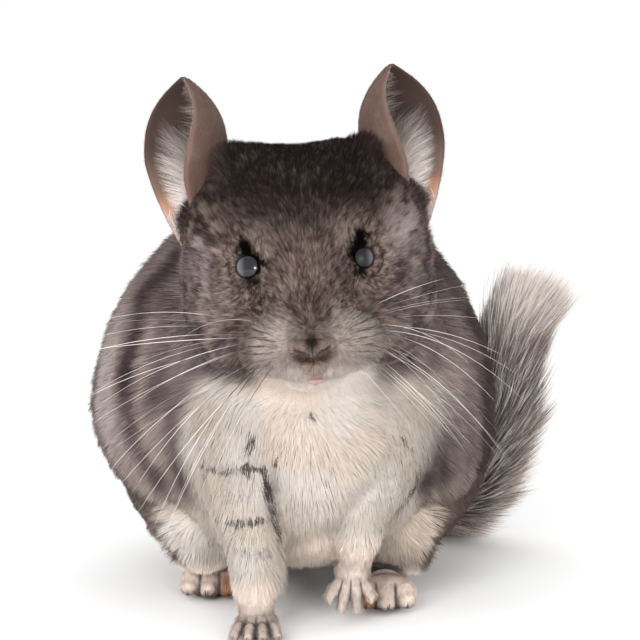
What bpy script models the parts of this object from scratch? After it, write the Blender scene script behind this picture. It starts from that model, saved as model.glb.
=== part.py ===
"""A chinchilla crouching on the floor, life size, as closed solids that meet face to face.

Metres, +Z up. The animal looks along -Y, so its own left side is at +X. Its right forepaw and both
hind feet stand on the floor, the left forepaw is just lifted, and the tail curls up on its left side.
"""
import math

import bmesh
import bpy
import numpy as np
from mathutils import Matrix, Vector

# Driving sizes, in metres.
GAP = 0.0003
BODY_HALF_WIDTH = 0.0750
BODY_TOP = 0.147
BELLY_HEIGHT = 0.010
BODY_LEAN = 6.5
EAR_HALF_CHORD = 0.0170
EAR_DEPTH = 0.0218
EAR_THICKNESS = 0.0013
EYE_RADIUS = 0.0066
EYE_HALF_SPACING = 0.0176
WHISKER_THICKNESS = 0.0006
TAIL_CORE_RADIUS = 0.0056
TAIL_HAIR = 0.044

# The head's own frame: its centre in the part, and its lean towards the animal's right.
HEAD_CENTRE = Vector((0.0025, -0.045, 0.122))
HEAD_LEAN = math.radians(-5.0)
HEAD_FRAME = Matrix.Translation(HEAD_CENTRE) @ Matrix.Rotation(HEAD_LEAN, 4, "Y")

SIDES = {"left": 1.0, "right": -1.0}


def clear_scene():
    for obj in list(bpy.data.objects):
        bpy.data.objects.remove(obj)


def new_collection(name):
    collection = bpy.data.collections.new(name)
    bpy.context.scene.collection.children.link(collection)
    return collection


def new_material(name, colour, roughness):
    material = bpy.data.materials.new(name)
    material.use_nodes = True
    shader = material.node_tree.nodes["Principled BSDF"]
    shader.inputs["Base Color"].default_value = (*colour, 1.0)
    shader.inputs["Roughness"].default_value = roughness
    shader.inputs["Metallic"].default_value = 0.0
    return material


clear_scene()
ANIMAL = new_collection("chinchilla")
WORKSHOP = new_collection("workshop")
WORKSHOP.hide_render = True

GREY_FUR = new_material("grey_fur", (0.20, 0.16, 0.15), 0.9)
PALE_FUR = new_material("pale_fur", (0.72, 0.62, 0.54), 0.9)
TAIL_FUR = new_material("tail_fur", (0.42, 0.37, 0.35), 0.9)
EAR_SKIN = new_material("ear_skin", (0.24, 0.15, 0.13), 0.6)
NOSE_SKIN = new_material("nose_skin", (0.32, 0.20, 0.17), 0.5)
EYE_GLOSS = new_material("eye_gloss", (0.02, 0.02, 0.022), 0.08)
FOOT_SKIN = new_material("foot_skin", (0.55, 0.42, 0.33), 0.7)


# Mesh helpers. Every piece is a closed mesh object in the part's own axes.


def mesh_from(bm, name):
    mesh = bpy.data.meshes.new(name)
    bm.to_mesh(mesh)
    bm.free()
    obj = bpy.data.objects.new(name, mesh)
    WORKSHOP.objects.link(obj)
    return obj


def ball(centre, radii, turn=(0.0, 0.0, 0.0), frame=Matrix.Identity(4), lower=None, rings=14):
    """An ellipsoid. turn is its rotation in degrees; lower replaces the radius below its centre."""
    bm = bmesh.new()
    bmesh.ops.create_uvsphere(bm, u_segments=2 * rings, v_segments=rings, radius=1.0)
    for vertex in bm.verts:
        down = radii[2] if lower is None or vertex.co.z > 0 else lower
        vertex.co = Vector((vertex.co.x * radii[0], vertex.co.y * radii[1], vertex.co.z * down))
    spin = Matrix.Rotation(math.radians(turn[2]), 4, "Z")
    spin = spin @ Matrix.Rotation(math.radians(turn[1]), 4, "Y")
    spin = spin @ Matrix.Rotation(math.radians(turn[0]), 4, "X")
    bmesh.ops.transform(bm, matrix=frame @ Matrix.Translation(centre) @ spin, verts=bm.verts)
    return mesh_from(bm, "ball")


def limb(stations, frame=Matrix.Identity(4), resolution=4, smooth=3):
    """A round tapering limb: a curve through (point, radius) stations, with filled caps, as a mesh."""
    data = bpy.data.curves.new("limb", "CURVE")
    data.dimensions = "3D"
    data.bevel_depth = 1.0
    data.bevel_resolution = resolution
    data.use_fill_caps = True
    data.resolution_u = smooth
    spline = data.splines.new("NURBS")
    spline.points.add(len(stations) - 1)
    spline.order_u = 3
    spline.use_endpoint_u = True
    for point, (place, radius) in zip(spline.points, stations):
        point.co = (*(frame @ Vector(place)), 1.0)
        point.radius = radius
    curve = bpy.data.objects.new("limb_curve", data)
    WORKSHOP.objects.link(curve)
    return as_mesh(curve)


def as_mesh(obj):
    """The evaluated object as a plain mesh object with its caps welded; the old object is removed."""
    graph = bpy.context.evaluated_depsgraph_get()
    mesh = bpy.data.meshes.new_from_object(obj.evaluated_get(graph))
    made = bpy.data.objects.new(obj.name + "_mesh", mesh)
    made.matrix_world = obj.matrix_world
    WORKSHOP.objects.link(made)
    bpy.data.objects.remove(obj)
    bm = bmesh.new()
    bm.from_mesh(mesh)
    bmesh.ops.remove_doubles(bm, verts=bm.verts, dist=1e-6)
    bmesh.ops.recalc_face_normals(bm, faces=bm.faces)
    bm.to_mesh(mesh)
    bm.free()
    return made


def fused(name, pieces, voxel, smoothing, triangles):
    """Overlapping pieces made one smooth body: voxel remesh, smooth, then decimate to a count."""
    bm = bmesh.new()
    for piece in pieces:
        bm.from_mesh(piece.data)
        bpy.data.objects.remove(piece)
    whole = mesh_from(bm, name)
    remesh = whole.modifiers.new("Remesh", "REMESH")
    remesh.mode = "VOXEL"
    remesh.voxel_size = voxel
    smooth = whole.modifiers.new("Smooth", "SMOOTH")
    smooth.factor = 0.5
    smooth.iterations = smoothing
    whole = as_mesh(whole)
    count = sum(len(face.vertices) - 2 for face in whole.data.polygons)
    reduce = whole.modifiers.new("Decimate", "DECIMATE")
    reduce.ratio = min(1.0, triangles / count)
    reduce.use_collapse_triangulate = True
    return as_mesh(whole)


def grown(obj, amount):
    """A copy of the object, larger all round by amount, for cutting a socket."""
    mesh = obj.data.copy()
    normals = [vertex.normal.copy() for vertex in mesh.vertices]
    for vertex, normal in zip(mesh.vertices, normals):
        vertex.co += normal * amount
    copy = bpy.data.objects.new(obj.name + "_socket", mesh)
    WORKSHOP.objects.link(copy)
    return copy


def with_boolean(obj, others, operation):
    """The object after one Boolean with a collection of closed meshes, which are then removed."""
    group = new_collection("operands")
    for other in others:
        for held in list(other.users_collection):
            held.objects.unlink(other)
        group.objects.link(other)
    boolean = obj.modifiers.new("Boolean", "BOOLEAN")
    boolean.operation = operation
    boolean.operand_type = "COLLECTION"
    boolean.collection = group
    boolean.solver = "EXACT"
    name = obj.name
    made = as_mesh(obj)
    for other in list(group.objects):
        bpy.data.objects.remove(other)
    bpy.data.collections.remove(group)
    made.name = name
    return largest(made)


def largest(obj):
    """Keeps only the object's largest closed surface."""
    bm = bmesh.new()
    bm.from_mesh(obj.data)
    bmesh.ops.dissolve_degenerate(bm, dist=1e-7, edges=bm.edges)
    bmesh.ops.triangulate(bm, faces=bm.faces)
    bm.verts.ensure_lookup_table()
    seen, shells = set(), []
    for start in bm.verts:
        if start in seen:
            continue
        shell, stack = [], [start]
        seen.add(start)
        while stack:
            vertex = stack.pop()
            shell.append(vertex)
            for edge in vertex.link_edges:
                other = edge.other_vert(vertex)
                if other not in seen:
                    seen.add(other)
                    stack.append(other)
        shells.append(shell)
    shells.sort(key=len)
    for shell in shells[:-1]:
        bmesh.ops.delete(bm, geom=shell, context="VERTS")
    bm.to_mesh(obj.data)
    bm.free()
    return obj


def socketed(obj, *neighbours):
    """The object with a clear socket cut for each neighbour that it meets."""
    return with_boolean(obj, [grown(n, GAP) for n in neighbours], "DIFFERENCE")


def cut_flat(obj, point, normal):
    """Keeps the side of a plane that its normal points to, and closes the cut."""
    bm = bmesh.new()
    bm.from_mesh(obj.data)
    everything = bm.verts[:] + bm.edges[:] + bm.faces[:]
    cut = bmesh.ops.bisect_plane(
        bm, geom=everything, plane_co=point, plane_no=normal, clear_inner=True, dist=1e-7
    )
    edges = [item for item in cut["geom_cut"] if isinstance(item, bmesh.types.BMEdge)]
    bmesh.ops.triangle_fill(bm, edges=edges, use_beauty=True)
    bmesh.ops.recalc_face_normals(bm, faces=bm.faces)
    bm.to_mesh(obj.data)
    bm.free()
    return obj


def finished(obj, name, material):
    """Names a piece, gives it its material and moves it to the animal's collection."""
    obj.name = name
    obj.data.name = name
    obj.data.materials.clear()
    obj.data.materials.append(material)
    for held in list(obj.users_collection):
        held.objects.unlink(obj)
    ANIMAL.objects.link(obj)
    obj.data.shade_smooth()
    return obj


# Head: a broad, wedge-shaped skull with full cheeks, a blunt muzzle and bulging eyes.

EYE_CENTRE = Vector((EYE_HALF_SPACING, -0.0160, 0.0045))
LID_TURN = math.radians(42.0)


def eye_place(side):
    return Vector((side * EYE_CENTRE.x, EYE_CENTRE.y, EYE_CENTRE.z))


def eye(side):
    return ball(eye_place(side), (EYE_RADIUS,) * 3, frame=HEAD_FRAME, rings=8)


def eye_outwards(side):
    """The way an eye faces: outwards and forwards."""
    return Vector((side * math.sin(LID_TURN), -math.cos(LID_TURN), 0.0))


def eye_clearing(side):
    """A ball in front of the eye, which opens the coat round it."""
    return ball(eye_place(side) + eye_outwards(side) * EYE_RADIUS * 1.35, (EYE_RADIUS,) * 3,
                frame=HEAD_FRAME, rings=10)


def lid(side):
    """The ring of bare skin round the eye: both lids in one."""
    bpy.ops.mesh.primitive_torus_add(
        major_segments=24, minor_segments=8, major_radius=EYE_RADIUS * 0.90, minor_radius=0.0014
    )
    ring = bpy.context.object
    for held in list(ring.users_collection):
        held.objects.unlink(ring)
    WORKSHOP.objects.link(ring)
    around = Matrix.Rotation(side * LID_TURN, 4, "Z") @ Matrix.Rotation(math.radians(90), 4, "X")
    place = eye_place(side) + eye_outwards(side) * EYE_RADIUS * 0.42
    ring.data.transform(HEAD_FRAME @ Matrix.Translation(place) @ around)
    return ring


def head_body():
    """Skull, crown, cheeks and muzzle run together, opened and rimmed round the eyes."""
    def part(centre, radii, turn=(0.0, 0.0, 0.0)):
        return ball(centre, radii, turn, HEAD_FRAME)

    pieces = [
        part((0.0, 0.013, 0.003), (0.0415, 0.027, 0.037)),
        part((0.0, 0.010, 0.0265), (0.0345, 0.025, 0.0185)),
        part((0.0, -0.005, 0.004), (0.0215, 0.028, 0.029)),
        part((0.0, -0.002, 0.020), (0.027, 0.024, 0.023)),
        part((0.0, -0.019, -0.004), (0.0160, 0.021, 0.0185)),
        part((0.0, -0.026, -0.012), (0.0155, 0.0185, 0.0165)),
        part((0.0, -0.014, -0.018), (0.0225, 0.023, 0.018)),
    ]
    for side in SIDES.values():
        pieces += [
            part((side * 0.023, 0.004, -0.009), (0.0205, 0.027, 0.025)),
            part((side * 0.0265, 0.006, 0.003), (0.0170, 0.024, 0.022)),
            part((side * 0.026, 0.006, 0.013), (0.0150, 0.023, 0.020)),
            part((side * 0.0315, 0.015, 0.019), (0.010, 0.013, 0.013)),
        ]
    skull = fused("head", pieces, voxel=0.0011, smoothing=9, triangles=30000)
    skull = with_boolean(skull, [eye_clearing(side) for side in SIDES.values()], "DIFFERENCE")
    pieces = [skull] + [lid(side) for side in SIDES.values()]
    return fused("head", pieces, voxel=0.0009, smoothing=3, triangles=1350)


# Nose, upper lips with their whiskers, and chin.

NOSE_PLACE = Vector((0.0, -0.0445, -0.0195))


def nose_body():
    """A small leathery pad with two comma-shaped nostrils and the groove below it."""
    def part(centre, radii, turn=(0.0, 0.0, 0.0), rings=14):
        return ball(NOSE_PLACE + Vector(centre), radii, turn, HEAD_FRAME, rings=rings)

    pad = [
        part((0.0, 0.004, 0.0015), (0.0062, 0.0060, 0.0048)),
        part((0.0040, 0.0032, -0.0010), (0.0036, 0.0040, 0.0034), (0, 0, 25)),
        part((-0.0040, 0.0032, -0.0010), (0.0036, 0.0040, 0.0034), (0, 0, -25)),
        part((0.0, 0.0040, -0.0050), (0.0026, 0.0030, 0.0034)),
    ]
    nose = fused("nose", pad, voxel=0.0006, smoothing=3, triangles=240)
    nostrils = [
        part((side * 0.0044, -0.0004, -0.0012), (0.0024, 0.0019, 0.0009), (0, side * 32, 0), 6)
        for side in SIDES.values()
    ]
    groove = part((0.0, -0.0006, -0.0046), (0.0005, 0.0016, 0.0042), rings=6)
    return with_boolean(nose, nostrils + [groove], "DIFFERENCE")


PAD_CENTRE = Vector((0.0096, -0.0290, -0.0208))
PAD_RADII = (0.0124, 0.0145, 0.0110)

# Each whisker, seen from the front: the height of its root on the pad, its direction above the
# horizontal in degrees, its length, and how far its end sinks.
RIGHT_WHISKERS = [
    (0.0060, 20, 0.062, 0.004), (0.0045, 7, 0.074, 0.006), (0.0030, -2, 0.070, 0.003),
    (0.0015, -10, 0.078, 0.007), (0.0000, -16, 0.080, 0.006), (-0.0015, -24, 0.066, 0.002),
    (-0.0030, -29, 0.070, 0.002), (-0.0045, -38, 0.052, 0.006), (-0.0060, -48, 0.046, 0.006),
]
LEFT_WHISKERS = [
    (0.0060, 19, 0.046, 0.000), (0.0045, 10, 0.050, 0.003), (0.0030, 4, 0.050, 0.005),
    (0.0015, 0, 0.052, 0.011), (0.0000, -4, 0.054, 0.018), (-0.0015, -12, 0.054, 0.024),
    (-0.0030, -22, 0.052, 0.026), (-0.0045, -34, 0.046, 0.020), (-0.0060, -46, 0.040, 0.014),
]


def whisker(side, row, order):
    """A stiff hair that leaves the pad sideways, sweeps a little back and sinks towards its end."""
    height, rise, length, sink = row
    rise = math.radians(rise)
    lean_back = 0.18 + 0.05 * (order % 3)
    start = PAD_CENTRE + Vector((-0.0020, 0.0, height))
    start.x *= side
    stations = []
    steps = 4
    for step in range(steps + 1):
        along = step / steps
        reach = length * along
        place = start + Vector((
            side * reach * math.cos(rise),
            reach * (lean_back * along - 0.05),
            reach * math.sin(rise) - sink * along * along,
        ))
        radius = WHISKER_THICKNESS / 2 * (1.25 - 0.95 * along)
        stations.append((place, radius))
    return tapered_prism(stations, HEAD_FRAME)


def tapered_prism(stations, frame, sides=3):
    """A thin tapering hair of a few flat sides through (point, radius) stations."""
    bm = bmesh.new()
    places = [frame @ Vector(place) for place, _ in stations]
    rings = []
    for index, (place, (_, radius)) in enumerate(zip(places, stations)):
        ahead = places[min(index + 1, len(places) - 1)] - places[max(index - 1, 0)]
        across = ahead.cross(Vector((0, 0, 1))).normalized()
        up = across.cross(ahead).normalized()
        turns = [2 * math.pi * k / sides for k in range(sides)]
        rings.append([
            bm.verts.new(place + radius * (math.cos(t) * across + math.sin(t) * up)) for t in turns
        ])
    for low, high in zip(rings, rings[1:]):
        for k in range(sides):
            n = (k + 1) % sides
            bm.faces.new((low[k], low[n], high[n]))
            bm.faces.new((low[k], high[n], high[k]))
    bm.faces.new(rings[0][::-1])
    bm.faces.new(rings[-1])
    bmesh.ops.recalc_face_normals(bm, faces=bm.faces)
    return mesh_from(bm, "hair")


def whisker_pad(side, rows):
    """One half of the upper lip: a full, rounded pad with its fan of whiskers."""
    centre = Vector((side * PAD_CENTRE.x, PAD_CENTRE.y, PAD_CENTRE.z))
    lower_lip = centre + Vector((-side * 0.0035, -0.0030, -0.0070))
    pieces = [
        ball(centre, PAD_RADII, (0, 0, side * 20), HEAD_FRAME),
        ball(lower_lip, (0.0062, 0.0080, 0.0052), frame=HEAD_FRAME),
    ]
    pad = fused("pad", pieces, voxel=0.0009, smoothing=3, triangles=260)
    middle = HEAD_FRAME @ Vector((side * GAP / 2, 0.0, 0.0))
    outwards = (HEAD_FRAME.to_3x3() @ Vector((side, 0.0, 0.0))).normalized()
    pad = cut_flat(pad, middle, outwards)
    hairs = [whisker(side, row, order) for order, row in enumerate(rows)]
    return pad, hairs


def chin_body():
    """The small lower lip and chin below the mouth line."""
    pieces = [
        ball((0.0, -0.0225, -0.0315), (0.0115, 0.0120, 0.0062), frame=HEAD_FRAME),
        ball((0.0, -0.0310, -0.0320), (0.0050, 0.0048, 0.0040), frame=HEAD_FRAME),
    ]
    return fused("chin", pieces, voxel=0.0009, smoothing=3, triangles=220)


# Ears: thin upright cups that open outwards and a little forwards.

EAR_ROOT = Vector((0.0390, 0.0150, 0.0115))
EAR_TIP = Vector((0.0345, 0.0270, 0.0695))
EAR_WIDEST = 0.56
EAR_CHORD = Vector((0.518, 0.855, 0.0))
EAR_OPENING = Vector((0.855, -0.518, 0.0))
EAR_CENTRE_OUT = 0.0057
EAR_CHORD_ROUNDNESS = 3.2
EAR_DEPTH_ROUNDNESS = 2.1

# How far out and up each ear is held from that place: the two aren't quite alike.
EAR_SET = {1.0: Vector((0.0006, 0.0, -0.0022)), -1.0: Vector((0.0029, 0.0, -0.0004))}


def ear_spread(along, roundness):
    """How wide the ear is at a height, of its widest: it narrows to a point at the tip and root."""
    if along > EAR_WIDEST:
        return 1.0 - ((along - EAR_WIDEST) / (1.0 - EAR_WIDEST)) ** roundness
    return 1.0 - 0.77 * ((EAR_WIDEST - along) / EAR_WIDEST) ** 1.2


def ear_point(side, around, along):
    """A point of the ear's sheet. around runs 0 to 1 from the front rim, by the inner wall, to the
    back rim; along runs 0 to 1 from root to tip. Each level is half an ellipse."""
    chord, depth = ear_spread(along, EAR_CHORD_ROUNDNESS), ear_spread(along, EAR_DEPTH_ROUNDNESS)
    angle = math.pi * around
    place = EAR_ROOT.lerp(EAR_TIP, along) + EAR_SET[side] * min(1.0, max(0.0, along * 2.0))
    place.x += EAR_CENTRE_OUT * depth
    place -= EAR_CHORD * (EAR_HALF_CHORD * chord * math.cos(angle))
    place -= EAR_OPENING * (EAR_DEPTH * depth * math.sin(angle))
    place.x *= side
    return HEAD_FRAME @ place


def ear_body(side):
    """The open sheet as a grid, given its thickness by Solidify."""
    columns, rows = 12, 11
    first, last = -0.06, 0.992
    bm = bmesh.new()
    grid = []
    for row in range(rows + 1):
        along = first + (last - first) * (1.0 - (1.0 - row / rows) ** 1.4)
        grid.append([
            bm.verts.new(ear_point(side, column / columns, along)) for column in range(columns + 1)
        ])
    for low, high in zip(grid, grid[1:]):
        for column in range(columns):
            bm.faces.new((low[column], low[column + 1], high[column + 1], high[column]))
    bmesh.ops.triangulate(bm, faces=bm.faces)
    bmesh.ops.recalc_face_normals(bm, faces=bm.faces)
    sheet = mesh_from(bm, "ear")
    wall = sheet.modifiers.new("Solidify", "SOLIDIFY")
    wall.thickness = EAR_THICKNESS
    wall.offset = 0.0
    return as_mesh(sheet)


# Torso and haunches.


def torso_body():
    """A deep round barrel with a full chest and neck and a broad rump, just clear of the floor."""
    pieces = [
        ball((-0.0035, 0.036, 0.062), (BODY_HALF_WIDTH, 0.076, BODY_TOP - 0.062), (0, BODY_LEAN, 0),
             lower=0.062 - BELLY_HEIGHT, rings=24),
        ball((0.000, -0.010, 0.060), (0.049, 0.040, 0.046), rings=18),
        ball((0.000, 0.074, 0.054), (0.060, 0.044, 0.056), lower=0.0515, rings=18),
        ball((0.003, -0.006, 0.098), (0.046, 0.042, 0.043), rings=18),
        ball((0.000, 0.034, 0.042), (0.062, 0.052, 0.034), rings=18),
    ]
    return fused("torso", pieces, voxel=0.0028, smoothing=10, triangles=900)


def haunch_body(side):
    """The folded thigh: a flattened egg low on the flank, its knee forward."""
    pieces = [
        ball((side * 0.0440, 0.040, 0.046), (0.0255, 0.043, 0.040), (0, side * 20, -side * 6), rings=16),
        ball((side * 0.0365, 0.004, 0.028), (0.0195, 0.023, 0.020), rings=12),
    ]
    return fused("haunch", pieces, voxel=0.0022, smoothing=6, triangles=320)


# Forelegs and forepaws.

# Stations of each foreleg from the shoulder to the wrist: place, radius.
RIGHT_FORELEG = [
    ((-0.021, -0.026, 0.066), 0.0175), ((-0.019, -0.034, 0.050), 0.0162),
    ((-0.016, -0.044, 0.034), 0.0128), ((-0.0145, -0.053, 0.020), 0.0082),
    ((-0.0145, -0.058, 0.009), 0.0062),
]
LEFT_FORELEG = [
    ((0.026, -0.020, 0.062), 0.0165), ((0.024, -0.029, 0.049), 0.0145),
    ((0.0215, -0.036, 0.038), 0.0100), ((0.0198, -0.041, 0.030), 0.0068),
    ((0.0188, -0.044, 0.0235), 0.0056),
]
FINGER_RADIUS = 0.00215
CLAW_LENGTH = 0.0026


def finger(knuckle, middle, tip, radius=FINGER_RADIUS):
    """A short digit with a small claw at its end."""
    knuckle, middle, tip = Vector(knuckle), Vector(middle), Vector(tip)
    ahead = (tip - middle).normalized()
    digit = limb([(knuckle, radius), (middle, radius * 1.05), (tip, radius * 0.85)], resolution=2)
    pad = ball(tip, (radius * 1.08,) * 3, rings=6)
    point = tip + ahead * (radius + CLAW_LENGTH)
    nail = limb([(tip, 0.0010), (tip + ahead * radius, 0.0009), (point, 0.0004)], resolution=1)
    return [digit, pad, nail]


def paw_body(name, palm, palm_radii, digits, leg_end, triangles):
    """A palm, its wrist and its digits run together."""
    pieces = [ball(palm, palm_radii, rings=8), limb(leg_end, resolution=3)]
    for digit in digits:
        pieces += finger(*digit)
    return fused(name, pieces, voxel=0.00065, smoothing=2, triangles=triangles)


def right_forepaw():
    """Planted: the fingers spread forwards on the floor."""
    palm = Vector((-0.0145, -0.0590, 0.0045))
    digits = []
    for across, reach in ((-0.0062, 0.0085), (-0.0022, 0.0108), (0.0020, 0.0110), (0.0060, 0.0090)):
        knuckle = palm + Vector((across * 0.72, -0.0035, 0.0004))
        middle = palm + Vector((across * 0.95, -0.0035 - reach * 0.45, 0.0002))
        tip = palm + Vector((across * 1.15, -0.0035 - reach * 0.85, -0.0032))
        digits.append((knuckle, middle, tip))
    leg_end = [((-0.0145, -0.0535, 0.0200), 0.0078), ((-0.0145, -0.0580, 0.0090), 0.0060)]
    paw = paw_body("forepaw", palm, (0.0068, 0.0072, 0.0050), digits, leg_end, 480)
    return cut_flat(paw, (0, 0, 0), (0, 0, 1))


def left_forepaw():
    """Lifted: the hand hangs from the wrist and its fingers spread downwards."""
    palm = Vector((0.0180, -0.0445, 0.0200))
    digits = []
    spread = ((-0.0082, -0.0074), (-0.0034, -0.0098), (0.0018, -0.0092), (0.0062, -0.0058))
    for across, drop in spread:
        knuckle = palm + Vector((across * 0.50, -0.0006, -0.0022))
        middle = palm + Vector((across * 0.78, -0.0014, drop * 0.55 - 0.0012))
        tip = palm + Vector((across, -0.0010, drop))
        digits.append((knuckle, middle, tip))
    leg_end = [((0.0198, -0.0412, 0.0310), 0.0064), ((0.0187, -0.0442, 0.0215), 0.0054)]
    return paw_body("forepaw", palm, (0.0060, 0.0042, 0.0056), digits, leg_end, 480)


# Hind feet: long soles under the body, three large toes showing in front.

HIND_FEET = {"left": (0.0300, -0.0170, 3.0), "right": (-0.0330, 0.0035, -4.0)}
TOE_RADIUS = 0.0034
FOOT_LENGTH = 0.056


def hind_foot(side_name):
    """The sole, heel and toes of one hind foot, flat on the floor."""
    side = SIDES[side_name]
    centre, front, splay = HIND_FEET[side_name]
    frame = Matrix.Translation((centre, front, 0.0)) @ Matrix.Rotation(math.radians(splay), 4, "Z")
    sole = [
        ((0.0, 0.0, 0.0066), 0.0078), ((0.0, FOOT_LENGTH * 0.4, 0.0064), 0.0074),
        ((0.0, FOOT_LENGTH * 0.8, 0.0062), 0.0068), ((0.0, FOOT_LENGTH, 0.0060), 0.0064),
    ]
    ball_of_foot = ball((0, 0, 0.0068), (0.0092, 0.0080, 0.0068), frame=frame)
    pieces = [limb(sole, frame, resolution=3), ball_of_foot]
    for across, reach in ((-0.0068, 0.0078), (0.0, 0.0100), (0.0066, 0.0076)):
        across *= side
        knuckle = frame @ Vector((across * 0.85, -0.0010, 0.0074))
        middle = frame @ Vector((across, -reach * 0.55, 0.0072))
        tip = frame @ Vector((across * 1.06, -reach, 0.0036))
        pieces += finger(knuckle, middle, tip, TOE_RADIUS)
    foot = fused("hind_foot", pieces, voxel=0.0009, smoothing=2, triangles=460)
    return cut_flat(foot, (0, 0, 0), (0, 0, 1))


# Tail: a slim core with coarse hair, long on its outer side, in flat overlapping locks.

TAIL_LINE = [
    Vector(place) for place in (
        (0.008, 0.096, 0.024), (0.026, 0.113, 0.016), (0.048, 0.112, 0.0105),
        (0.064, 0.098, 0.020), (0.0705, 0.086, 0.040), (0.0720, 0.079, 0.062),
        (0.0735, 0.075, 0.077), (0.0775, 0.073, 0.089),
    )
]
TAIL_PARTS = {"tail_base": (0.00, 0.42), "tail_middle": (0.42, 0.74), "tail_tip": (0.74, 1.00)}

# Rows of locks along each length and locks in each row, how far round the core they reach from
# its outer side in radians, the locks round the very tip, and the locks' height above the floor.
LOCK_ROWS = {"tail_base": (5, 3), "tail_middle": (5, 4), "tail_tip": (4, 3)}
LOCK_SPREAD = 1.55
TIP_LOCKS = 6
LOCK_CLEARANCE = 0.0012

# A lock's sections: how far along it, its half width and its half thickness there.
LOCK_SECTIONS = ((0.0, 0.0028, 0.0013), (0.42, 0.0054, 0.0012), (0.76, 0.0037, 0.0008))


def tail_point(along):
    """A point on the smooth curve through the tail's line, for along from 0 to 1 (Catmull-Rom)."""
    last = len(TAIL_LINE) - 1
    at = min(max(along, 0.0), 1.0) * last
    i = min(int(at), last - 1)
    t = at - i
    p0, p1 = TAIL_LINE[max(i - 1, 0)], TAIL_LINE[i]
    p2, p3 = TAIL_LINE[i + 1], TAIL_LINE[min(i + 2, last)]
    return 0.5 * (2 * p1 + (p2 - p0) * t + (2 * p0 - 5 * p1 + 4 * p2 - p3) * t * t
                  + (3 * p1 - p0 - 3 * p2 + p3) * t ** 3)


def tail_axes(along):
    """Along the tail, away from the body, and the third way."""
    ahead = (tail_point(along + 0.02) - tail_point(along - 0.02)).normalized()
    away = Vector((0.92, 0.30, 0.10)) if along > 0.45 else Vector((0.55, 0.80, 0.05))
    away = (away - ahead * away.dot(ahead)).normalized()
    return ahead, away, ahead.cross(away).normalized()


def tail_radius(along):
    return TAIL_CORE_RADIUS * (1.0 - 0.40 * along)


def tail_core(low, high):
    steps = 5
    stations = []
    for step in range(steps + 1):
        along = low + (high - low) * step / steps
        stations.append((tail_point(along), tail_radius(along)))
    return limb(stations, resolution=2, smooth=2)


def lock(along, turn, length, lift, rng):
    """A flat lock of hair: diamond sections carried from inside the core along a bend to a point.
    turn is its place round the core from the outer side; lift is its angle off the core."""
    ahead, away, third = tail_axes(along)
    outward = (away * math.cos(turn) + third * math.sin(turn)).normalized()
    across = ahead.cross(outward).normalized()
    across = (across + outward * rng.uniform(-0.25, 0.25)).normalized()
    root = tail_point(along) + outward * tail_radius(along) * 0.25
    bm = bmesh.new()
    rings = []
    for s, half, thick in LOCK_SECTIONS:
        place, face = lock_place(root, ahead, outward, lift, length, s)
        place.z = max(place.z, LOCK_CLEARANCE + half)
        rings.append([
            bm.verts.new(place + across * half), bm.verts.new(place + face * thick),
            bm.verts.new(place - across * half), bm.verts.new(place - face * thick),
        ])
    place, _ = lock_place(root, ahead, outward, lift, length, 1.0)
    place.z = max(place.z, LOCK_CLEARANCE)
    tip = bm.verts.new(place)
    for low, high in zip(rings, rings[1:]):
        for k in range(4):
            n = (k + 1) % 4
            bm.faces.new((low[k], low[n], high[n], high[k]))
    for k in range(4):
        bm.faces.new((rings[-1][k], rings[-1][(k + 1) % 4], tip))
    bm.faces.new(rings[0][::-1])
    bmesh.ops.triangulate(bm, faces=bm.faces)
    bmesh.ops.recalc_face_normals(bm, faces=bm.faces)
    return mesh_from(bm, "lock")


def lock_place(root, ahead, outward, lift, length, s):
    """Where a lock's middle line is at s from 0 to 1, and the way its flat side faces there."""
    bend = lift * (1.15 - 0.35 * s)
    place = root + (ahead * math.cos(bend) + outward * math.sin(bend)) * length * s
    return place, (outward * math.cos(bend) - ahead * math.sin(bend)).normalized()


def tail_locks(low, high, rows, places, rng):
    """Rows of locks along this length, long on the outer side and short towards the body."""
    made = []
    for row in range(rows):
        along = low + (high - low) * (row + 0.4) / rows
        for place in range(places):
            turn = LOCK_SPREAD * ((place + 0.5) / places * 2 - 1) + (0.2 if row % 2 else -0.2)
            outer = math.cos(turn) * 0.5 + 0.5
            grown_in = 0.62 + 0.38 * min(1.0, along / 0.5)
            length = TAIL_HAIR * (0.50 + 0.50 * outer) * grown_in * rng.uniform(0.88, 1.06)
            lift = 0.30 + 0.48 * outer + rng.uniform(-0.07, 0.07)
            made.append(lock(along, turn, length, lift, rng))
    return made


def tail_length(name, rng):
    """One length of the tail: its core with the locks rooted in it, fused to one body."""
    low, high = TAIL_PARTS[name]
    rows, places = LOCK_ROWS[name]
    locks = tail_locks(low, high, rows, places, rng)
    if high == 1.0:
        locks += [
            lock(0.985, math.tau * k / TIP_LOCKS, TAIL_HAIR * rng.uniform(0.54, 0.66),
                 0.16 + 0.12 * (k % 2), rng)
            for k in range(TIP_LOCKS)
        ]
    return with_boolean(tail_core(low, high), locks, "UNION")


# Assembly.


def settle(objects):
    """Moves the whole animal so that the middle of its box's underside is the origin."""
    corners = np.array([v.co for obj in objects for v in obj.data.vertices])
    low, high = corners.min(axis=0), corners.max(axis=0)
    shift = Matrix.Translation((-(low[0] + high[0]) / 2, -(low[1] + high[1]) / 2, -low[2]))
    for obj in objects:
        obj.data.transform(shift)


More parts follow.
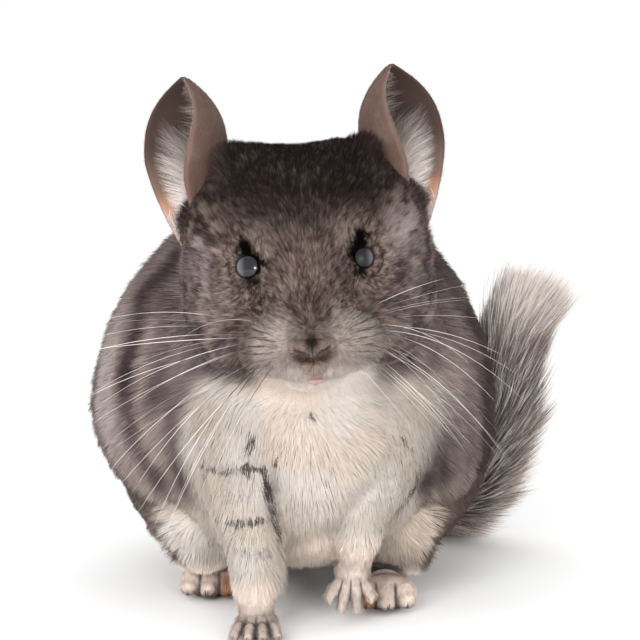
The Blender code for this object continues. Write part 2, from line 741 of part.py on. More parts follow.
def assemble():
    """Builds every piece, cuts each one clear of what it meets and names it."""
    head = head_body()
    torso = torso_body()
    chin = chin_body()
    nose = nose_body()
    for name, side in SIDES.items():
        rows = LEFT_WHISKERS if side > 0 else RIGHT_WHISKERS
        eye_ball = eye(side)
        pad, hairs = whisker_pad(side, rows)
        pad = socketed(pad, nose)
        chin = socketed(chin, pad)
        head = socketed(head, eye_ball, pad)
        finished(with_boolean(pad, hairs, "UNION"), "whisker_pad_" + name, PALE_FUR)
        finished(eye_ball, "eye_" + name, EYE_GLOSS)
    head = socketed(head, nose, chin)
    torso = socketed(torso, head, chin)
    finished(nose, "nose", NOSE_SKIN)
    finished(chin, "chin", PALE_FUR)
    for name, side in SIDES.items():
        finished(socketed(ear_body(side), head), "ear_" + name, EAR_SKIN)
        paw = left_forepaw() if side > 0 else right_forepaw()
        stations = LEFT_FORELEG if side > 0 else RIGHT_FORELEG
        foreleg = fused("foreleg", [limb(stations)], 0.0012, 3, 240)
        foreleg = socketed(foreleg, paw)
        foot = hind_foot(name)
        haunch = socketed(haunch_body(side), foot, foreleg)
        torso = socketed(torso, foreleg, paw, haunch, foot)
        finished(paw, "forepaw_" + name, FOOT_SKIN)
        finished(foreleg, "foreleg_" + name, PALE_FUR)
        finished(foot, "hind_foot_" + name, FOOT_SKIN)
        finished(haunch, "haunch_" + name, GREY_FUR)
    rng = np.random.default_rng(7)
    before = []
    for name in TAIL_PARTS:
        length = socketed(tail_length(name, rng), torso, *before)
        finished(length, name, TAIL_FUR)
        before = [length]
    finished(head, "head", GREY_FUR)
    finished(torso, "torso", GREY_FUR)
    settle(list(ANIMAL.objects))


assemble()
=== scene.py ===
"""A grey chinchilla, life size, as it looks in life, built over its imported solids.

Metres, +Z up. The animal looks along -Y, so its own left side is at +X. Each section below makes one
piece or group of like pieces, in the order in which a model maker would put the animal together.
"""

import math

import bmesh
import bpy
import numpy as np
from mathutils import Matrix, Vector


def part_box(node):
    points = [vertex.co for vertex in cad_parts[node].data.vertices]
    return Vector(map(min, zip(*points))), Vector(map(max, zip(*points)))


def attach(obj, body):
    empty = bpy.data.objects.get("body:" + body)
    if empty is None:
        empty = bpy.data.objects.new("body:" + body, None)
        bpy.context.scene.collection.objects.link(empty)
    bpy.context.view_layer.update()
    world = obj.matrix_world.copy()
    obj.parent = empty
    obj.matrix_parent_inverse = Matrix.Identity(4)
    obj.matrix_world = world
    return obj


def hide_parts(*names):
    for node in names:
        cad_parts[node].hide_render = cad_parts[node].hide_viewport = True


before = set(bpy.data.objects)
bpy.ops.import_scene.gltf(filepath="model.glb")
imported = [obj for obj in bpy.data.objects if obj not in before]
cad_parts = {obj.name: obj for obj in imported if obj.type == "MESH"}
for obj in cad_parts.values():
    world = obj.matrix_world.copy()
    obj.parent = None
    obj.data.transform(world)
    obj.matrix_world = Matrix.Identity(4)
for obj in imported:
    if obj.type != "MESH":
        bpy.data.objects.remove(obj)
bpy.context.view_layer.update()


# Skin. The hide over the flesh, which shows only at the face, the feet and the partings of the coat.
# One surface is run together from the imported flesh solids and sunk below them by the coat's depth;
# the four paws and the tail's core are closed shells rooted in it.

HEAD_LEAN = math.radians(-5.0)
HEAD_IN_BODY = np.array((0.0025, -0.0450, 0.1220))
EYES_IN_HEAD = np.array((0.0, -0.0160, 0.0045))

SIDES = {"left": 1.0, "right": -1.0}

eye_centres = {name: np.mean(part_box("eye_" + name), axis=0) for name in SIDES}
head_turn = np.array(Matrix.Rotation(HEAD_LEAN, 3, "Y"))
head_origin = (eye_centres["left"] + eye_centres["right"]) / 2 - head_turn @ EYES_IN_HEAD
body_origin = head_origin - HEAD_IN_BODY


def from_head(places):
    """Places in the head's own axes, moved to the model's."""
    return np.asarray(places, float) @ head_turn.T + head_origin


def to_head(points):
    """Points of the model in the head's own axes."""
    return (points - head_origin) @ head_turn


def ease(value, low, high):
    """0 below low, 1 above high, and the smooth cubic 3t^2 - 2t^3 between them."""
    t = np.clip((value - low) / (high - low), 0.0, 1.0)
    return t * t * (3.0 - 2.0 * t)


def unit(vectors):
    """Each vector divided by its length."""
    return vectors / np.maximum(np.linalg.norm(vectors, axis=-1, keepdims=True), 1e-12)


def box_distance(points, node, height_share):
    """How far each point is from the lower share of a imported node's box; 0 inside it."""
    low, high = (np.array(corner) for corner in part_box(node))
    high[2] = low[2] + height_share * (high[2] - low[2])
    return np.linalg.norm(np.maximum(np.maximum(low - points, points - high), 0.0), axis=1)


def line_share(points, start, end, start_radius, end_radius):
    """Distance of each point from a tapering limb's middle line, as a share of its radius there."""
    start, end = np.array(start) + body_origin, np.array(end) + body_origin
    along = np.clip((points - start) @ (end - start) / np.sum((end - start) ** 2), 0.0, 1.0)
    middle = start + along[:, None] * (end - start)
    radius = start_radius + (end_radius - start_radius) * along
    return np.linalg.norm(points - middle, axis=1) / radius


def one_sided(points):
    """Points in the head's own axes, with those of its right half mirrored to the left."""
    at = to_head(points)
    return np.stack([np.abs(at[:, 0]), at[:, 1], at[:, 2]], axis=1)


HEAD_MIDDLE = np.array((0.0, -0.004, 0.004))
HEAD_REACH = np.array((0.046, 0.046, 0.044))
MUZZLE_MIDDLE = np.array((0.0, -0.036, -0.019))
NOSE_MIDDLE = np.array((0.0, -0.0465, -0.0205))
# Each foreleg's middle line in the body's axes, from top to wrist, and its radius at both ends.
FORELEGS = {
    "right": ((-0.020, -0.030, 0.060), (-0.0145, -0.058, 0.009), 0.0175, 0.0075),
    "left": ((0.026, -0.020, 0.062), (0.0188, -0.044, 0.0235), 0.0165, 0.0066),
}
# The share of each paw's box, from the floor, that its short hair covers.
PAW_TOPS = {"forepaw_left": 0.62, "forepaw_right": 0.45, "hind_foot_left": 0.7, "hind_foot_right": 0.7}
HANDS = ("forepaw_left", "forepaw_right")
# Where each region starts to fade and where it ends: metres, or shares of a reach for head and leg.
FADES = {
    "head": (1.0, 1.22), "muzzle": (0.014, 0.027), "nose": (0.0050, 0.0120), "eye": (0.0080, 0.0160),
    "leg": (1.05, 1.5), "hand": (0.0005, 0.0110), "foot": (0.0005, 0.0095),
    "pale_foot": (0.0005, 0.0045), "paw": (0.0060, 0.0150), "low": (0.030, 0.052),
}
# Places with hair of their own, each with its middle and reach: the first two in the head's axes,
# for its left half, and the others in the body's.
HAIR_PATCHES = {
    "ear_tuft": ((0.0225, 0.0050, 0.0385), (0.0075, 0.0110, 0.0090)),
    "lip": ((0.0215, -0.0290, -0.0240), (0.0090, 0.0170, 0.0130)),
    "fringe": ((-0.0085, -0.0540, 0.0270), (0.0070, 0.0120, 0.0100)),
    "breast": ((0.0030, -0.0450, 0.0600), (0.0400, 0.0300, 0.0400)),
}


def spot(places, centre, radii):
    """1 at a centre, falling smoothly to 0 at an ellipsoid of those radii round it."""
    return 1.0 - ease(np.linalg.norm((places - np.array(centre)) / np.array(radii), axis=1), 0.25, 1.0)


def within(distance, region):
    """1 where a distance is inside a region, fading to 0 at its end."""
    return 1.0 - ease(distance, *FADES[region])


def regions(points):
    """How far each point belongs to each region of the coat, such as the head or a foot, from 0 to 1."""
    at, in_body, mirrored = to_head(points), points - body_origin, one_sided(points)
    to_eye = np.min([np.linalg.norm(points - c, axis=1) for c in eye_centres.values()], axis=0)
    to_leg = np.min([line_share(points, *l) for l in FORELEGS.values()], axis=0)
    to_paw = np.min([box_distance(points, n, top) for n, top in PAW_TOPS.items()], axis=0)
    to_hand = np.min([box_distance(points, n, PAW_TOPS[n]) for n in HANDS], axis=0)
    head = within(np.linalg.norm((at - HEAD_MIDDLE) / HEAD_REACH, axis=1), "head")
    leg, hand = within(to_leg, "leg"), within(to_hand, "hand")
    return {
        "head": head, "muzzle": within(np.linalg.norm(at - MUZZLE_MIDDLE, axis=1), "muzzle"),
        "nose": within(np.linalg.norm(at - NOSE_MIDDLE, axis=1), "nose"), "eye": within(to_eye, "eye"),
        "leg": leg * (1.0 - head), "foot": np.maximum(hand, within(to_paw, "foot")),
        "pale_foot": np.maximum(hand, within(to_paw, "pale_foot")), "paw": within(to_paw, "paw"),
        "low": within(points[:, 2], "low"),
        "ruff": head * ease(at[:, 1], -0.002, 0.010) * (1.0 - ease(at[:, 2], 0.016, 0.030)),
        "ear_tuft": spot(mirrored, *HAIR_PATCHES["ear_tuft"]), "lip": spot(mirrored, *HAIR_PATCHES["lip"]),
        "fringe": spot(in_body, *HAIR_PATCHES["fringe"]) * leg,
        "breast": spot(in_body, *HAIR_PATCHES["breast"]),
    }


# The coat's length on each part of the body, its lift off the skin in degrees and the width of a
# tuft. Each part is laid over those before it.
HAIR = {
    "body": (0.0086, 18.0, 0.00033), "low": (0.0060, 17.0, 0.00028), "breast": (0.0072, 13.0, 0.00032),
    "head": (0.0029, 22.0, 0.00014), "ruff": (0.0092, 33.0, 0.00023), "ear_tuft": (0.0066, 40.0, 0.00021),
    "leg": (0.0056, 18.0, 0.00026), "fringe": (0.0095, 24.0, 0.00022), "muzzle": (0.0023, 20.0, 0.00014),
    "lip": (0.0042, 26.0, 0.00014), "eye": (0.0014, 16.0, 0.00013), "nose": (0.0013, 18.0, 0.00012),
    "foot": (0.0021, 24.0, 0.00012),
}


def hair_form(points):
    """Length, lift in radians and width of the coat at each point, blended between the regions."""
    share = regions(points)
    form = np.tile(np.array(HAIR["body"]), (len(points), 1))
    for part in list(HAIR)[1:]:
        form += (np.array(HAIR[part]) - form) * share[part][:, None]
    return form[:, 0], np.radians(form[:, 1]), form[:, 2]


def mesh_piece(name, points, triangles, colours=None, uv=None, shading=None):
    """A mesh object from arrays: points, triangles that index them, and a colour, a UV and a shading
    normal for each point where given."""
    mesh = bpy.data.meshes.new(name)
    mesh.vertices.add(len(points))
    mesh.vertices.foreach_set("co", np.ascontiguousarray(points, np.float32).ravel())
    mesh.loops.add(triangles.size)
    mesh.loops.foreach_set("vertex_index", np.ascontiguousarray(triangles, np.int32).ravel())
    mesh.polygons.add(len(triangles))
    mesh.polygons.foreach_set("loop_start", np.arange(0, triangles.size, 3, dtype=np.int32))
    mesh.update(calc_edges=True)
    mesh.shade_smooth()
    if colours is not None:
        layer = mesh.color_attributes.new("coat", "FLOAT_COLOR", "POINT")
        rgba = np.ones((len(points), 4), np.float32)
        rgba[:, :3] = colours
        layer.data.foreach_set("color", rgba.ravel())
    if uv is not None:
        layer = mesh.uv_layers.new(name="OFBake")
        layer.uv.foreach_set("vector", np.ascontiguousarray(uv[triangles.ravel()], np.float32).ravel())
    if shading is not None:
        mesh.normals_split_custom_set_from_vertices(shading)
    piece = bpy.data.objects.new(name, mesh)
    bpy.context.scene.collection.objects.link(piece)
    return piece


def arrays_of(piece):
    """Points, triangles and point normals of an object with its modifiers; the object is removed."""
    made = piece.evaluated_get(bpy.context.evaluated_depsgraph_get())
    mesh = made.to_mesh()
    points = np.empty(len(mesh.vertices) * 3, np.float32)
    mesh.vertices.foreach_get("co", points)
    normals = np.empty(len(mesh.vertices) * 3, np.float32)
    mesh.vertices.foreach_get("normal", normals)
    mesh.calc_loop_triangles()
    triangles = np.empty(len(mesh.loop_triangles) * 3, np.int32)
    mesh.loop_triangles.foreach_get("vertices", triangles)
    made.to_mesh_clear()
    bpy.data.objects.remove(piece)
    return (points.reshape(-1, 3).astype(float), triangles.reshape(-1, 3),
            normals.reshape(-1, 3).astype(float))


def joined(parts):
    """Several (points, triangles) pairs as one pair."""
    starts = np.cumsum([0] + [len(points) for points, _ in parts[:-1]])
    return (np.concatenate([points for points, _ in parts]),
            np.concatenate([triangles + start for (_, triangles), start in zip(parts, starts)]))


def run_together(parts, voxel, smoothing):
    """Closed parts made one smooth closed surface by Remesh and Smooth, with its point normals."""
    piece = mesh_piece("flesh", *joined(parts))
    remesh = piece.modifiers.new("Remesh", "REMESH")
    remesh.mode = "VOXEL"
    remesh.voxel_size = voxel
    smooth = piece.modifiers.new("Smooth", "SMOOTH")
    smooth.factor = 0.5
    smooth.iterations = smoothing
    return arrays_of(piece)


def thinned(points, triangles, count):
    """The same surface with about count triangles, by Decimate."""
    piece = mesh_piece("thinned", points, triangles)
    thin = piece.modifiers.new("Decimate", "DECIMATE")
    thin.ratio = min(1.0, count / len(triangles))
    points, triangles, _ = arrays_of(piece)
    return points, triangles


def tubes(paths, radii, sides):
    """Round closed tubes. paths is (tubes, stations, 3) and radii (tubes, stations). At each station a
    ring of the station's radius stands square to the path, and a pole closes each end."""
    count, stations, _ = paths.shape
    ahead = unit(np.gradient(paths, axis=1))
    mean = unit(ahead.mean(axis=1, keepdims=True))
    helper = np.where(np.abs(mean[..., 2:]) < 0.8, (0.0, 0.0, 1.0), (0.0, 1.0, 0.0))
    across = unit(np.cross(ahead, helper))
    up = np.cross(across, ahead)
    turn = 2 * np.pi * np.arange(sides) / sides
    ring = (across[:, :, None] * np.cos(turn)[:, None] + up[:, :, None] * np.sin(turn)[:, None])
    rings = paths[:, :, None] + ring * radii[:, :, None, None]
    points = np.concatenate(
        [rings.reshape(count, -1, 3), paths[:, :1], paths[:, -1:]], axis=1
    ).reshape(-1, 3)
    i, k = np.meshgrid(np.arange(stations - 1), np.arange(sides), indexing="ij")
    a, b = i * sides + k, i * sides + (k + 1) % sides
    walls = np.stack([a, b + sides, b, a, a + sides, b + sides], axis=-1).reshape(-1, 3)
    k = np.arange(sides)
    n = (k + 1) % sides
    last = (stations - 1) * sides
    low = np.stack([np.full(sides, stations * sides), k, n], axis=-1)
    high = np.stack([np.full(sides, stations * sides + 1), last + n, last + k], axis=-1)
    one = np.concatenate([walls, low, high])
    size = stations * sides + 2
    triangles = (one[None] + size * np.arange(count)[:, None, None]).reshape(-1, 3)
    return points, triangles


def outwards(points, triangles):
    """The same closed surface with its triangles turned so that the volume they enclose is positive."""
    a, b, c = (points[triangles[:, corner]] - points.mean(axis=0) for corner in range(3))
    volume = np.sum(a * np.cross(b, c))
    return points, triangles if volume > 0 else triangles[:, ::-1]


def ball(centre, radii, turn=(0.0, 0.0, 0.0), stations=12):
    """An ellipsoid in the model's axes: rings of radius sin(t) at heights -cos(t), scaled and turned."""
    t = np.linspace(0.12, np.pi - 0.12, stations)
    path = np.zeros((1, stations, 3))
    path[0, :, 2] = -np.cos(t)
    points, triangles = tubes(path, np.sin(t)[None], 2 * stations)
    points[-2:, 2] = (-1.0, 1.0)
    spin = np.eye(3)
    for axis, degrees in zip("XYZ", turn):
        spin = np.array(Matrix.Rotation(math.radians(degrees), 3, axis)) @ spin
    return (points * radii) @ spin.T + centre, triangles


def head_ball(centre, radii, turn=(0.0, 0.0, 0.0), stations=12):
    """An ellipsoid given in the head's own axes."""
    points, triangles = ball(np.array(centre), radii, turn, stations)
    return from_head(points), triangles


def packed_solid(node, growth):
    """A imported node's welded copy, moved outwards by growth so that it meets its neighbours."""
    bm = bmesh.new()
    bm.from_mesh(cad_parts[node].data)
    bmesh.ops.remove_doubles(bm, verts=bm.verts, dist=1e-6)
    mesh = bpy.data.meshes.new("copy")
    bm.to_mesh(mesh)
    bm.free()
    copy = bpy.data.objects.new("copy", mesh)
    bpy.context.scene.collection.objects.link(copy)
    points, triangles, normals = arrays_of(copy)
    return points + normals * growth, triangles


FLESH_NODES = ("head", "torso", "haunch_left", "haunch_right", "foreleg_left", "foreleg_right")
GROWTH = 0.0004
BODY_VOXEL, BODY_SMOOTHING, BODY_TRIANGLES = 0.0011, 5, 90000
SINK_SHARE, LIFT_LIMIT = 0.88, 0.38
# Each wrist's middle line in the body's axes and its radius there, from above to below.
RIGHT_WRIST = ((-0.0163, -0.0478, 0.0330, 0.0080), (-0.0145, -0.0588, 0.0080, 0.0053))
LEFT_WRIST = ((0.0214, -0.0345, 0.0400, 0.0074), (0.0184, -0.0444, 0.0195, 0.0048))
# The foreleg's lower end drawn in to that line: its wrist, upper and lower level, and the share.
NARROWED = {
    "foreleg_right": (RIGHT_WRIST, 0.0350, 0.0130, 0.50),
    "foreleg_left": (LEFT_WRIST, 0.0400, 0.0250, 0.44),
}
# Small forms of the face in the head's axes: chin, lower lip and the flesh below the nose; and on
# both sides the lip, turned outwards, and its front end.
FACE_FORMS = (
    ((0.0, -0.0225, -0.0315), (0.0115, 0.0120, 0.0062)),
    ((0.0, -0.0310, -0.0325), (0.0048, 0.0046, 0.0034)),
    ((0.0, -0.0380, -0.0160), (0.0072, 0.0058, 0.0058)),
)
LIP_CENTRE, LIP_RADII, LIP_TURN = (0.0104, -0.0280, -0.0208), (0.0138, 0.0150, 0.0110), 20
LIP_END, LIP_END_RADII = (0.0061, -0.0320, -0.0278), (0.0062, 0.0080, 0.0048)
# Where the skin lies deeper, under the long hair of the haunches' lower edges: depth, middle, reach.
DEEPER = (
    (0.0048, (-0.0520, -0.0060, 0.0150), (0.0150, 0.0220, 0.0130)),
    (0.0050, (0.0550, -0.0040, 0.0190), (0.0150, 0.0240, 0.0150)),
)
# The crown's low rises and dip, in the head's axes: height, middle and reach.
EAR_TUFT_RISE = 0.0024
CROWN_RISES = (
    (-0.0020, (0.0010, 0.0, 0.0410), (0.0130, 0.0300, 0.0120)),
    (0.0034, (-0.0200, 0.0030, 0.0385), (0.0150, 0.0160, 0.0120)),
    (0.0016, (0.0190, 0.0030, 0.0395), (0.0120, 0.0160, 0.0120)),
)

flesh = [packed_solid(node, GROWTH) for node in FLESH_NODES]
for node, (wrist, top, bottom, share) in NARROWED.items():
    points, triangles = flesh[FLESH_NODES.index(node)]
    upper, lower = (np.array(end[:3]) for end in wrist)
    in_body = points - body_origin
    along = (in_body[:, 2:] - upper[2]) / (lower[2] - upper[2])
    middle = upper + along * (lower - upper)
    drawn = share * (1.0 - ease(in_body[:, 2:], bottom, top))
    points[:, :2] -= drawn * (in_body - middle)[:, :2]
flesh += [head_ball(*form) for form in FACE_FORMS]
for side in (1.0, -1.0):
    flesh.append(head_ball((side * LIP_CENTRE[0], *LIP_CENTRE[1:]), LIP_RADII, (0, 0, side * LIP_TURN)))
    flesh.append(head_ball((side * LIP_END[0], *LIP_END[1:]), LIP_END_RADII))
points, triangles, normals = run_together(flesh, BODY_VOXEL, BODY_SMOOTHING)
length, lift, _ = hair_form(points)
sink = SINK_SHARE * np.minimum(length, HAIR["body"][0]) * np.sin(np.minimum(lift, LIFT_LIMIT))
for depth, middle, reach in DEEPER:
    sink = sink + depth * spot(points - body_origin, middle, reach)
points = points - normals * (sink + GROWTH)[:, None]
level = EAR_TUFT_RISE * regions(points)["ear_tuft"]
for height, middle, reach in CROWN_RISES:
    level += height * spot(to_head(points), middle, reach)
points = points + level[:, None] * head_turn[:, 2]
body_shell = thinned(points, triangles, BODY_TRIANGLES)

FINGER_RADIUS, TOE_RADIUS = 0.00165, 0.0033


def digit(knuckle, middle, tip, radius):
    """A digit as three rounded swellings along a bent path: the joints and the pad at its end."""
    s = np.linspace(0.0, 1.0, 15)[:, None]
    line = ((1 - s) ** 2 * np.array(knuckle) + 2 * s * (1 - s) * np.array(middle)
            + s ** 2 * np.array(tip))
    swell = radius * (1.0 + 0.10 * np.cos(2 * np.pi * (s[:, 0] * 2.0)) - 0.06 * s[:, 0])
    swell[-3:] *= (0.98, 0.86, 0.55)
    return tubes((line + body_origin)[None], swell[None], 14)


def forepaw(palm, palm_radii, fingers, wrist):
    """A palm, a wrist and four fingers, given by their knuckles, middles and tips from the palm."""
    palm, line = np.array(palm), np.array(wrist)
    s = np.linspace(0, 1, 9)[:, None]
    path = line[0, :3] * (1 - s) + line[1, :3] * s
    radius = line[0, 3] * (1 - s[:, 0]) + line[1, 3] * s[:, 0]
    parts = [ball(palm + body_origin, palm_radii), tubes((path + body_origin)[None], radius[None], 18)]
    tips = []
    for finger in fingers:
        knuckle, middle, tip = (palm + place for place in finger)
        parts.append(digit(knuckle, middle, tip, FINGER_RADIUS))
        tips.append((middle, tip))
    return parts, tips


# Each finger's place across the palm, and how far the planted ones reach and the lifted ones hang.
PLANTED = ((-0.0064, 0.0092), (-0.0023, 0.0116), (0.0021, 0.0118), (0.0063, 0.0096))
LIFTED = ((-0.0078, -0.0088), (-0.0036, -0.0130), (0.0016, -0.0126), (0.0064, -0.0086))
planted = [
    ((x * 0.72, -0.0035, 0.0004), (x * 0.95, -0.0035 - r * 0.55, 0.0012), (x * 1.18, -0.0035 - r, -0.0022))
    for x, r in PLANTED
]
lifted = [
    ((x * 0.45, -0.0006, -0.0022), (x * 0.85, -0.0020, z * 0.5 - 0.0012), (x * 1.06, -0.0012, z - 0.0008))
    for x, z in LIFTED
]
paws, nails = {}, []
for name, *given in (
    ("right", (-0.0145, -0.0590, 0.0048), (0.0068, 0.0072, 0.0048), planted, RIGHT_WRIST),
    ("left", (0.0180, -0.0445, 0.0195), (0.0056, 0.0038, 0.0054), lifted, LEFT_WRIST),
):
    paws["fore_" + name], tips = forepaw(*given)
    nails += [(middle, tip, FINGER_RADIUS) for middle, tip in tips]

# Each hind foot's side, place outwards and forwards, and turn in degrees; and its toes, each with its
# place across the foot and its reach.
HIND_FEET = {"left": (1.0, 0.0300, -0.0170, 3.0), "right": (-1.0, -0.0330, 0.0035, -4.0)}
SOLE_LENGTH = 0.056
TOES = ((-0.0068, 0.0084), (0.0, 0.0106), (0.0066, 0.0082))
for name, (side, across, front, splay) in HIND_FEET.items():
    spin = np.array(Matrix.Rotation(math.radians(splay), 3, "Z"))
    corner = np.array((across, front, 0.0))
    s = np.linspace(0.0, 1.0, 14)
    path = np.stack([0 * s, SOLE_LENGTH * s, 0.0066 - 0.0006 * s], axis=1) @ spin.T + corner
    parts = [tubes((path + body_origin)[None], (0.0078 - 0.0014 * s)[None], 20)]
    parts.append(ball(spin @ (0, 0.0005, 0.0068) + corner + body_origin, (0.0092, 0.0080, 0.0066)))
    for x, reach in TOES:
        x *= side
        places = [(x * 0.85, -0.0005, 0.0076), (x, -reach * 0.60, 0.0086), (x * 1.06, -reach, 0.0036)]
        knuckle, middle, tip = (spin @ np.array(p) + corner for p in places)
        parts.append(digit(knuckle, middle, tip, TOE_RADIUS))
        nails.append((middle, tip, TOE_RADIUS))
    paws["hind_" + name] = parts

# Each lid is a closed shell over the eyeball, with an oval opening and a rounded rim.
EYE_RADIUS = 0.0066
# How far round the ball each lid reaches, and where its rim starts, in radians before it is stretched.
LID_FAR, LID_RIM = 1.75, 0.66
# How high the lid stands off the ball within, how thick its rim is, and how far it bulges.
LID_GAP, RIM_MIDDLE, RIM_HALF, LID_OUTSIDE, LID_BULGE = 0.00010, 0.00026, 0.00016, 0.00042, 0.0007
# Of each lid's opening: its turn outwards and upwards, and half its width and height, in radians.
LIDS = {1.0: (0.300, 0.150, 0.520, 0.545), -1.0: (0.285, 0.230, 0.640, 0.615)}


def eye_axis(side):
    """The way an eye's opening faces, in the model's axes."""
    outwards, upwards = LIDS[side][:2]
    return unit(head_turn @ np.array((side * math.sin(outwards), -math.cos(outwards), upwards)))


def lid_edge(turn, side):
    """Half angle of the lid's oval opening, at a turn round the eye's axis from its outer corner."""
    wide, high = LIDS[side][2:]
    return 1.0 / np.hypot(np.cos(turn) / wide, np.sin(turn) / high)


def lid_margin(points):
    """How far each point is beyond the lid's edge, measured over the nearer eyeball; below 0 in its
    opening, and large away from both eyes."""
    margins = []
    for name, side in SIDES.items():
        axis, away = eye_axis(side), points - eye_centres[name]
        across = unit(np.cross(axis, head_turn[:, 2]))
        way = unit(away)
        turn = np.arctan2(way @ np.cross(across, axis), way @ across)
        margin = (np.arccos(np.clip(way @ axis, -1.0, 1.0)) - lid_edge(turn, side)) * EYE_RADIUS
        margins.append(margin + ease(np.linalg.norm(away, axis=1), 0.0090, 0.0110))
    return np.min(margins, axis=0)


shells = [body_shell]
for name, side in SIDES.items():
    axis = eye_axis(side)
    across = unit(np.cross(axis, head_turn[:, 2]))
    up = np.cross(across, axis)
    turn = np.linspace(0.0, 2 * np.pi, 97)[:-1]
    ring = np.cos(turn)[:, None] * across + np.sin(turn)[:, None] * up
    s = np.linspace(0.0, 1.0, 9)
    rim = np.linspace(-0.5 * np.pi, 0.5 * np.pi, 7)[1:-1]
    depth = LID_FAR - LID_RIM
    angle = np.concatenate([LID_FAR - s * depth, LID_RIM - 0.05 * np.cos(rim), LID_RIM + s * depth])
    height = np.concatenate([
        0 * s + LID_GAP, RIM_MIDDLE + RIM_HALF * np.sin(rim), LID_OUTSIDE + LID_BULGE * np.sin(np.pi * s)])
    share = (angle - LID_RIM) / depth
    tilt = lid_edge(turn, side)[:, None] * (1.0 - share) + LID_FAR * share
    out = np.cos(tilt)[..., None] * axis + np.sin(tilt)[..., None] * ring[:, None]
    points = eye_centres[name] + out * (EYE_RADIUS + height)[None, :, None]
    count, size = len(turn), len(angle)
    i, k = np.meshgrid(np.arange(count), np.arange(size), indexing="ij")
    a, b = i * size + k, i * size + (k + 1) % size
    c, d = (i + 1) % count * size + k, (i + 1) % count * size + (k + 1) % size
    triangles = np.stack([a, c, d, a, d, b], axis=-1).reshape(-1, 3)
    shells.append(outwards(points.reshape(-1, 3), triangles))
PAW_VOXEL, PAW_SMOOTHING, PAW_TRIANGLES = 0.00048, 3, 9000
for parts in paws.values():
    points, triangles, _ = run_together(parts, PAW_VOXEL, PAW_SMOOTHING)
    points[:, 2] = np.maximum(points[:, 2], 0.0)
    shells.append(thinned(points, triangles, PAW_TRIANGLES))

# The tail's middle line in the body's axes, from its root behind the left haunch to its tip.
TAIL_LINE = np.array((
    (0.008, 0.096, 0.024), (0.026, 0.113, 0.016), (0.048, 0.112, 0.0105), (0.064, 0.098, 0.020),
    (0.0705, 0.086, 0.040), (0.0720, 0.079, 0.062), (0.0735, 0.075, 0.077), (0.0775, 0.073, 0.089),
))
TAIL_CORE_RADIUS, TAIL_TAPER = 0.0050, 0.45


def tail_place(along):
    """Points on the smooth curve through the tail's line (Catmull-Rom), for along from 0 to 1."""
    last = len(TAIL_LINE) - 1
    at = np.clip(along, 0.0, 1.0) * last
    i = np.minimum(at.astype(int), last - 1)
    t = (at - i)[:, None]
    p0, p1 = TAIL_LINE[np.maximum(i - 1, 0)], TAIL_LINE[i]
    p2, p3 = TAIL_LINE[i + 1], TAIL_LINE[np.minimum(i + 2, last)]
    return body_origin + 0.5 * (2 * p1 + (p2 - p0) * t + (2 * p0 - 5 * p1 + 4 * p2 - p3) * t ** 2
                                + (3 * p1 - p0 - 3 * p2 + p3) * t ** 3)


s = np.linspace(0.0, 1.0, 60)
radius = TAIL_CORE_RADIUS * (1.0 - TAIL_TAPER * s)
radius[-3:] *= (0.92, 0.75, 0.45)
shells.append(tubes(tail_place(s)[None], radius[None], 16))
skin_points, skin_triangles = joined(shells)


def linear(code):
    """A web colour code as linear red, green and blue."""
    value = np.array([int(code[i:i + 2], 16) for i in (1, 3, 5)]) / 255.0
    return np.where(value <= 0.04045, value / 12.92, ((value + 0.055) / 1.055) ** 2.4)


def blend(value, other, share):
    """Values moved towards others by a share."""
    return value + (other - value) * share


def mixed(colour, other, share):
    """Colours moved towards another colour by each point's share."""
    return blend(colour, other, np.asarray(share)[..., None])


LATTICE = 32
lattice = np.random.default_rng(3).random((LATTICE,) * 3)


def noise(points, size):
    """Smooth noise from 0 to 1: seeded random values on a lattice of that spacing, blended between
    the eight corners of each point's cell by eased weights."""
    at = points / size
    cell = np.floor(at).astype(int)
    t = at - cell
    t = t * t * (3.0 - 2.0 * t)
    total = np.zeros(len(points))
    for corner in np.ndindex(2, 2, 2):
        index = (cell + corner) % LATTICE
        share = np.prod(np.where(np.array(corner) == 1, t, 1.0 - t), axis=1)
        total += share * lattice[index[:, 0], index[:, 1], index[:, 2]]
    return total


CROWN, FACE_DARK, FACE_LIGHT = (linear(c) for c in ("#1f1717", "#3a2f2c", "#8e7b72"))
MUZZLE_GREY, MUZZLE_PALE, CREAM, WARM_CREAM = (
    linear(c) for c in ("#7d7068", "#b3a69d", "#ded5cd", "#d8cabd"))
FLANK_DARK, FLANK_LIGHT, FLANK_EDGE = (linear(c) for c in ("#43373a", "#a5958e", "#bcb0ac"))
STREAK, EYE_DARK_AND_SHADE, FOOT_CREAM = (linear(c) for c in ("#3d3532", "#0c0909", "#e4d5ca"))
# The knees' tan below is painted shade, for the low front away from the light and for the belly under the
# body.
TOE_ORANGE, PAINTED_SHADE_TAN, LID_BLACK = (linear(c) for c in ("#a87452", "#b3a294", "#0d0b0b"))
# Of these, the hem's brown is partly the haunches' dark fringe of fur and partly painted shade under them.
SOLE_SHADE, HEM_BROWN_AND_SHADE, LIP_PINK = (linear(c) for c in ("#6a5a51", "#594b45", "#9d736b"))

# How far round the right flank its foremost dark band lies at each height, and from one band to the
# next, in millimetres.
BAND_HEIGHTS = (45.0, 57.0, 70.0, 80.0, 92.0, 110.0, 121.0)
BAND_PLACES = (23.9, 30.1, 36.9, 40.3, 42.8, 48.0, 41.0)
BAND_STEP = 23.3

# Each paw's middle in millimetres, the gaps between its digits, how far they spread from the first
# to the last level, those levels, and which axis (1 forwards, 2 down) the digits run along.
DIGIT_GAPS = (
    ((-14.5, -59.0, 4.8), (-4.35, -0.1, 4.2), (0.74, 1.18), (4.0, 13.0), 1),
    ((18.0, -44.5, 19.5), (-5.7, -1.0, 4.0), (0.50, 1.06), (1.0, 12.0), 2),
    ((30.0, -17.0, 6.0), (-3.5, 3.3), (0.9, 1.04), (0.0, 9.0), 1),
    ((-33.0, 3.5, 6.0), (-3.3, 3.5), (0.9, 1.04), (0.0, 9.0), 1),
)

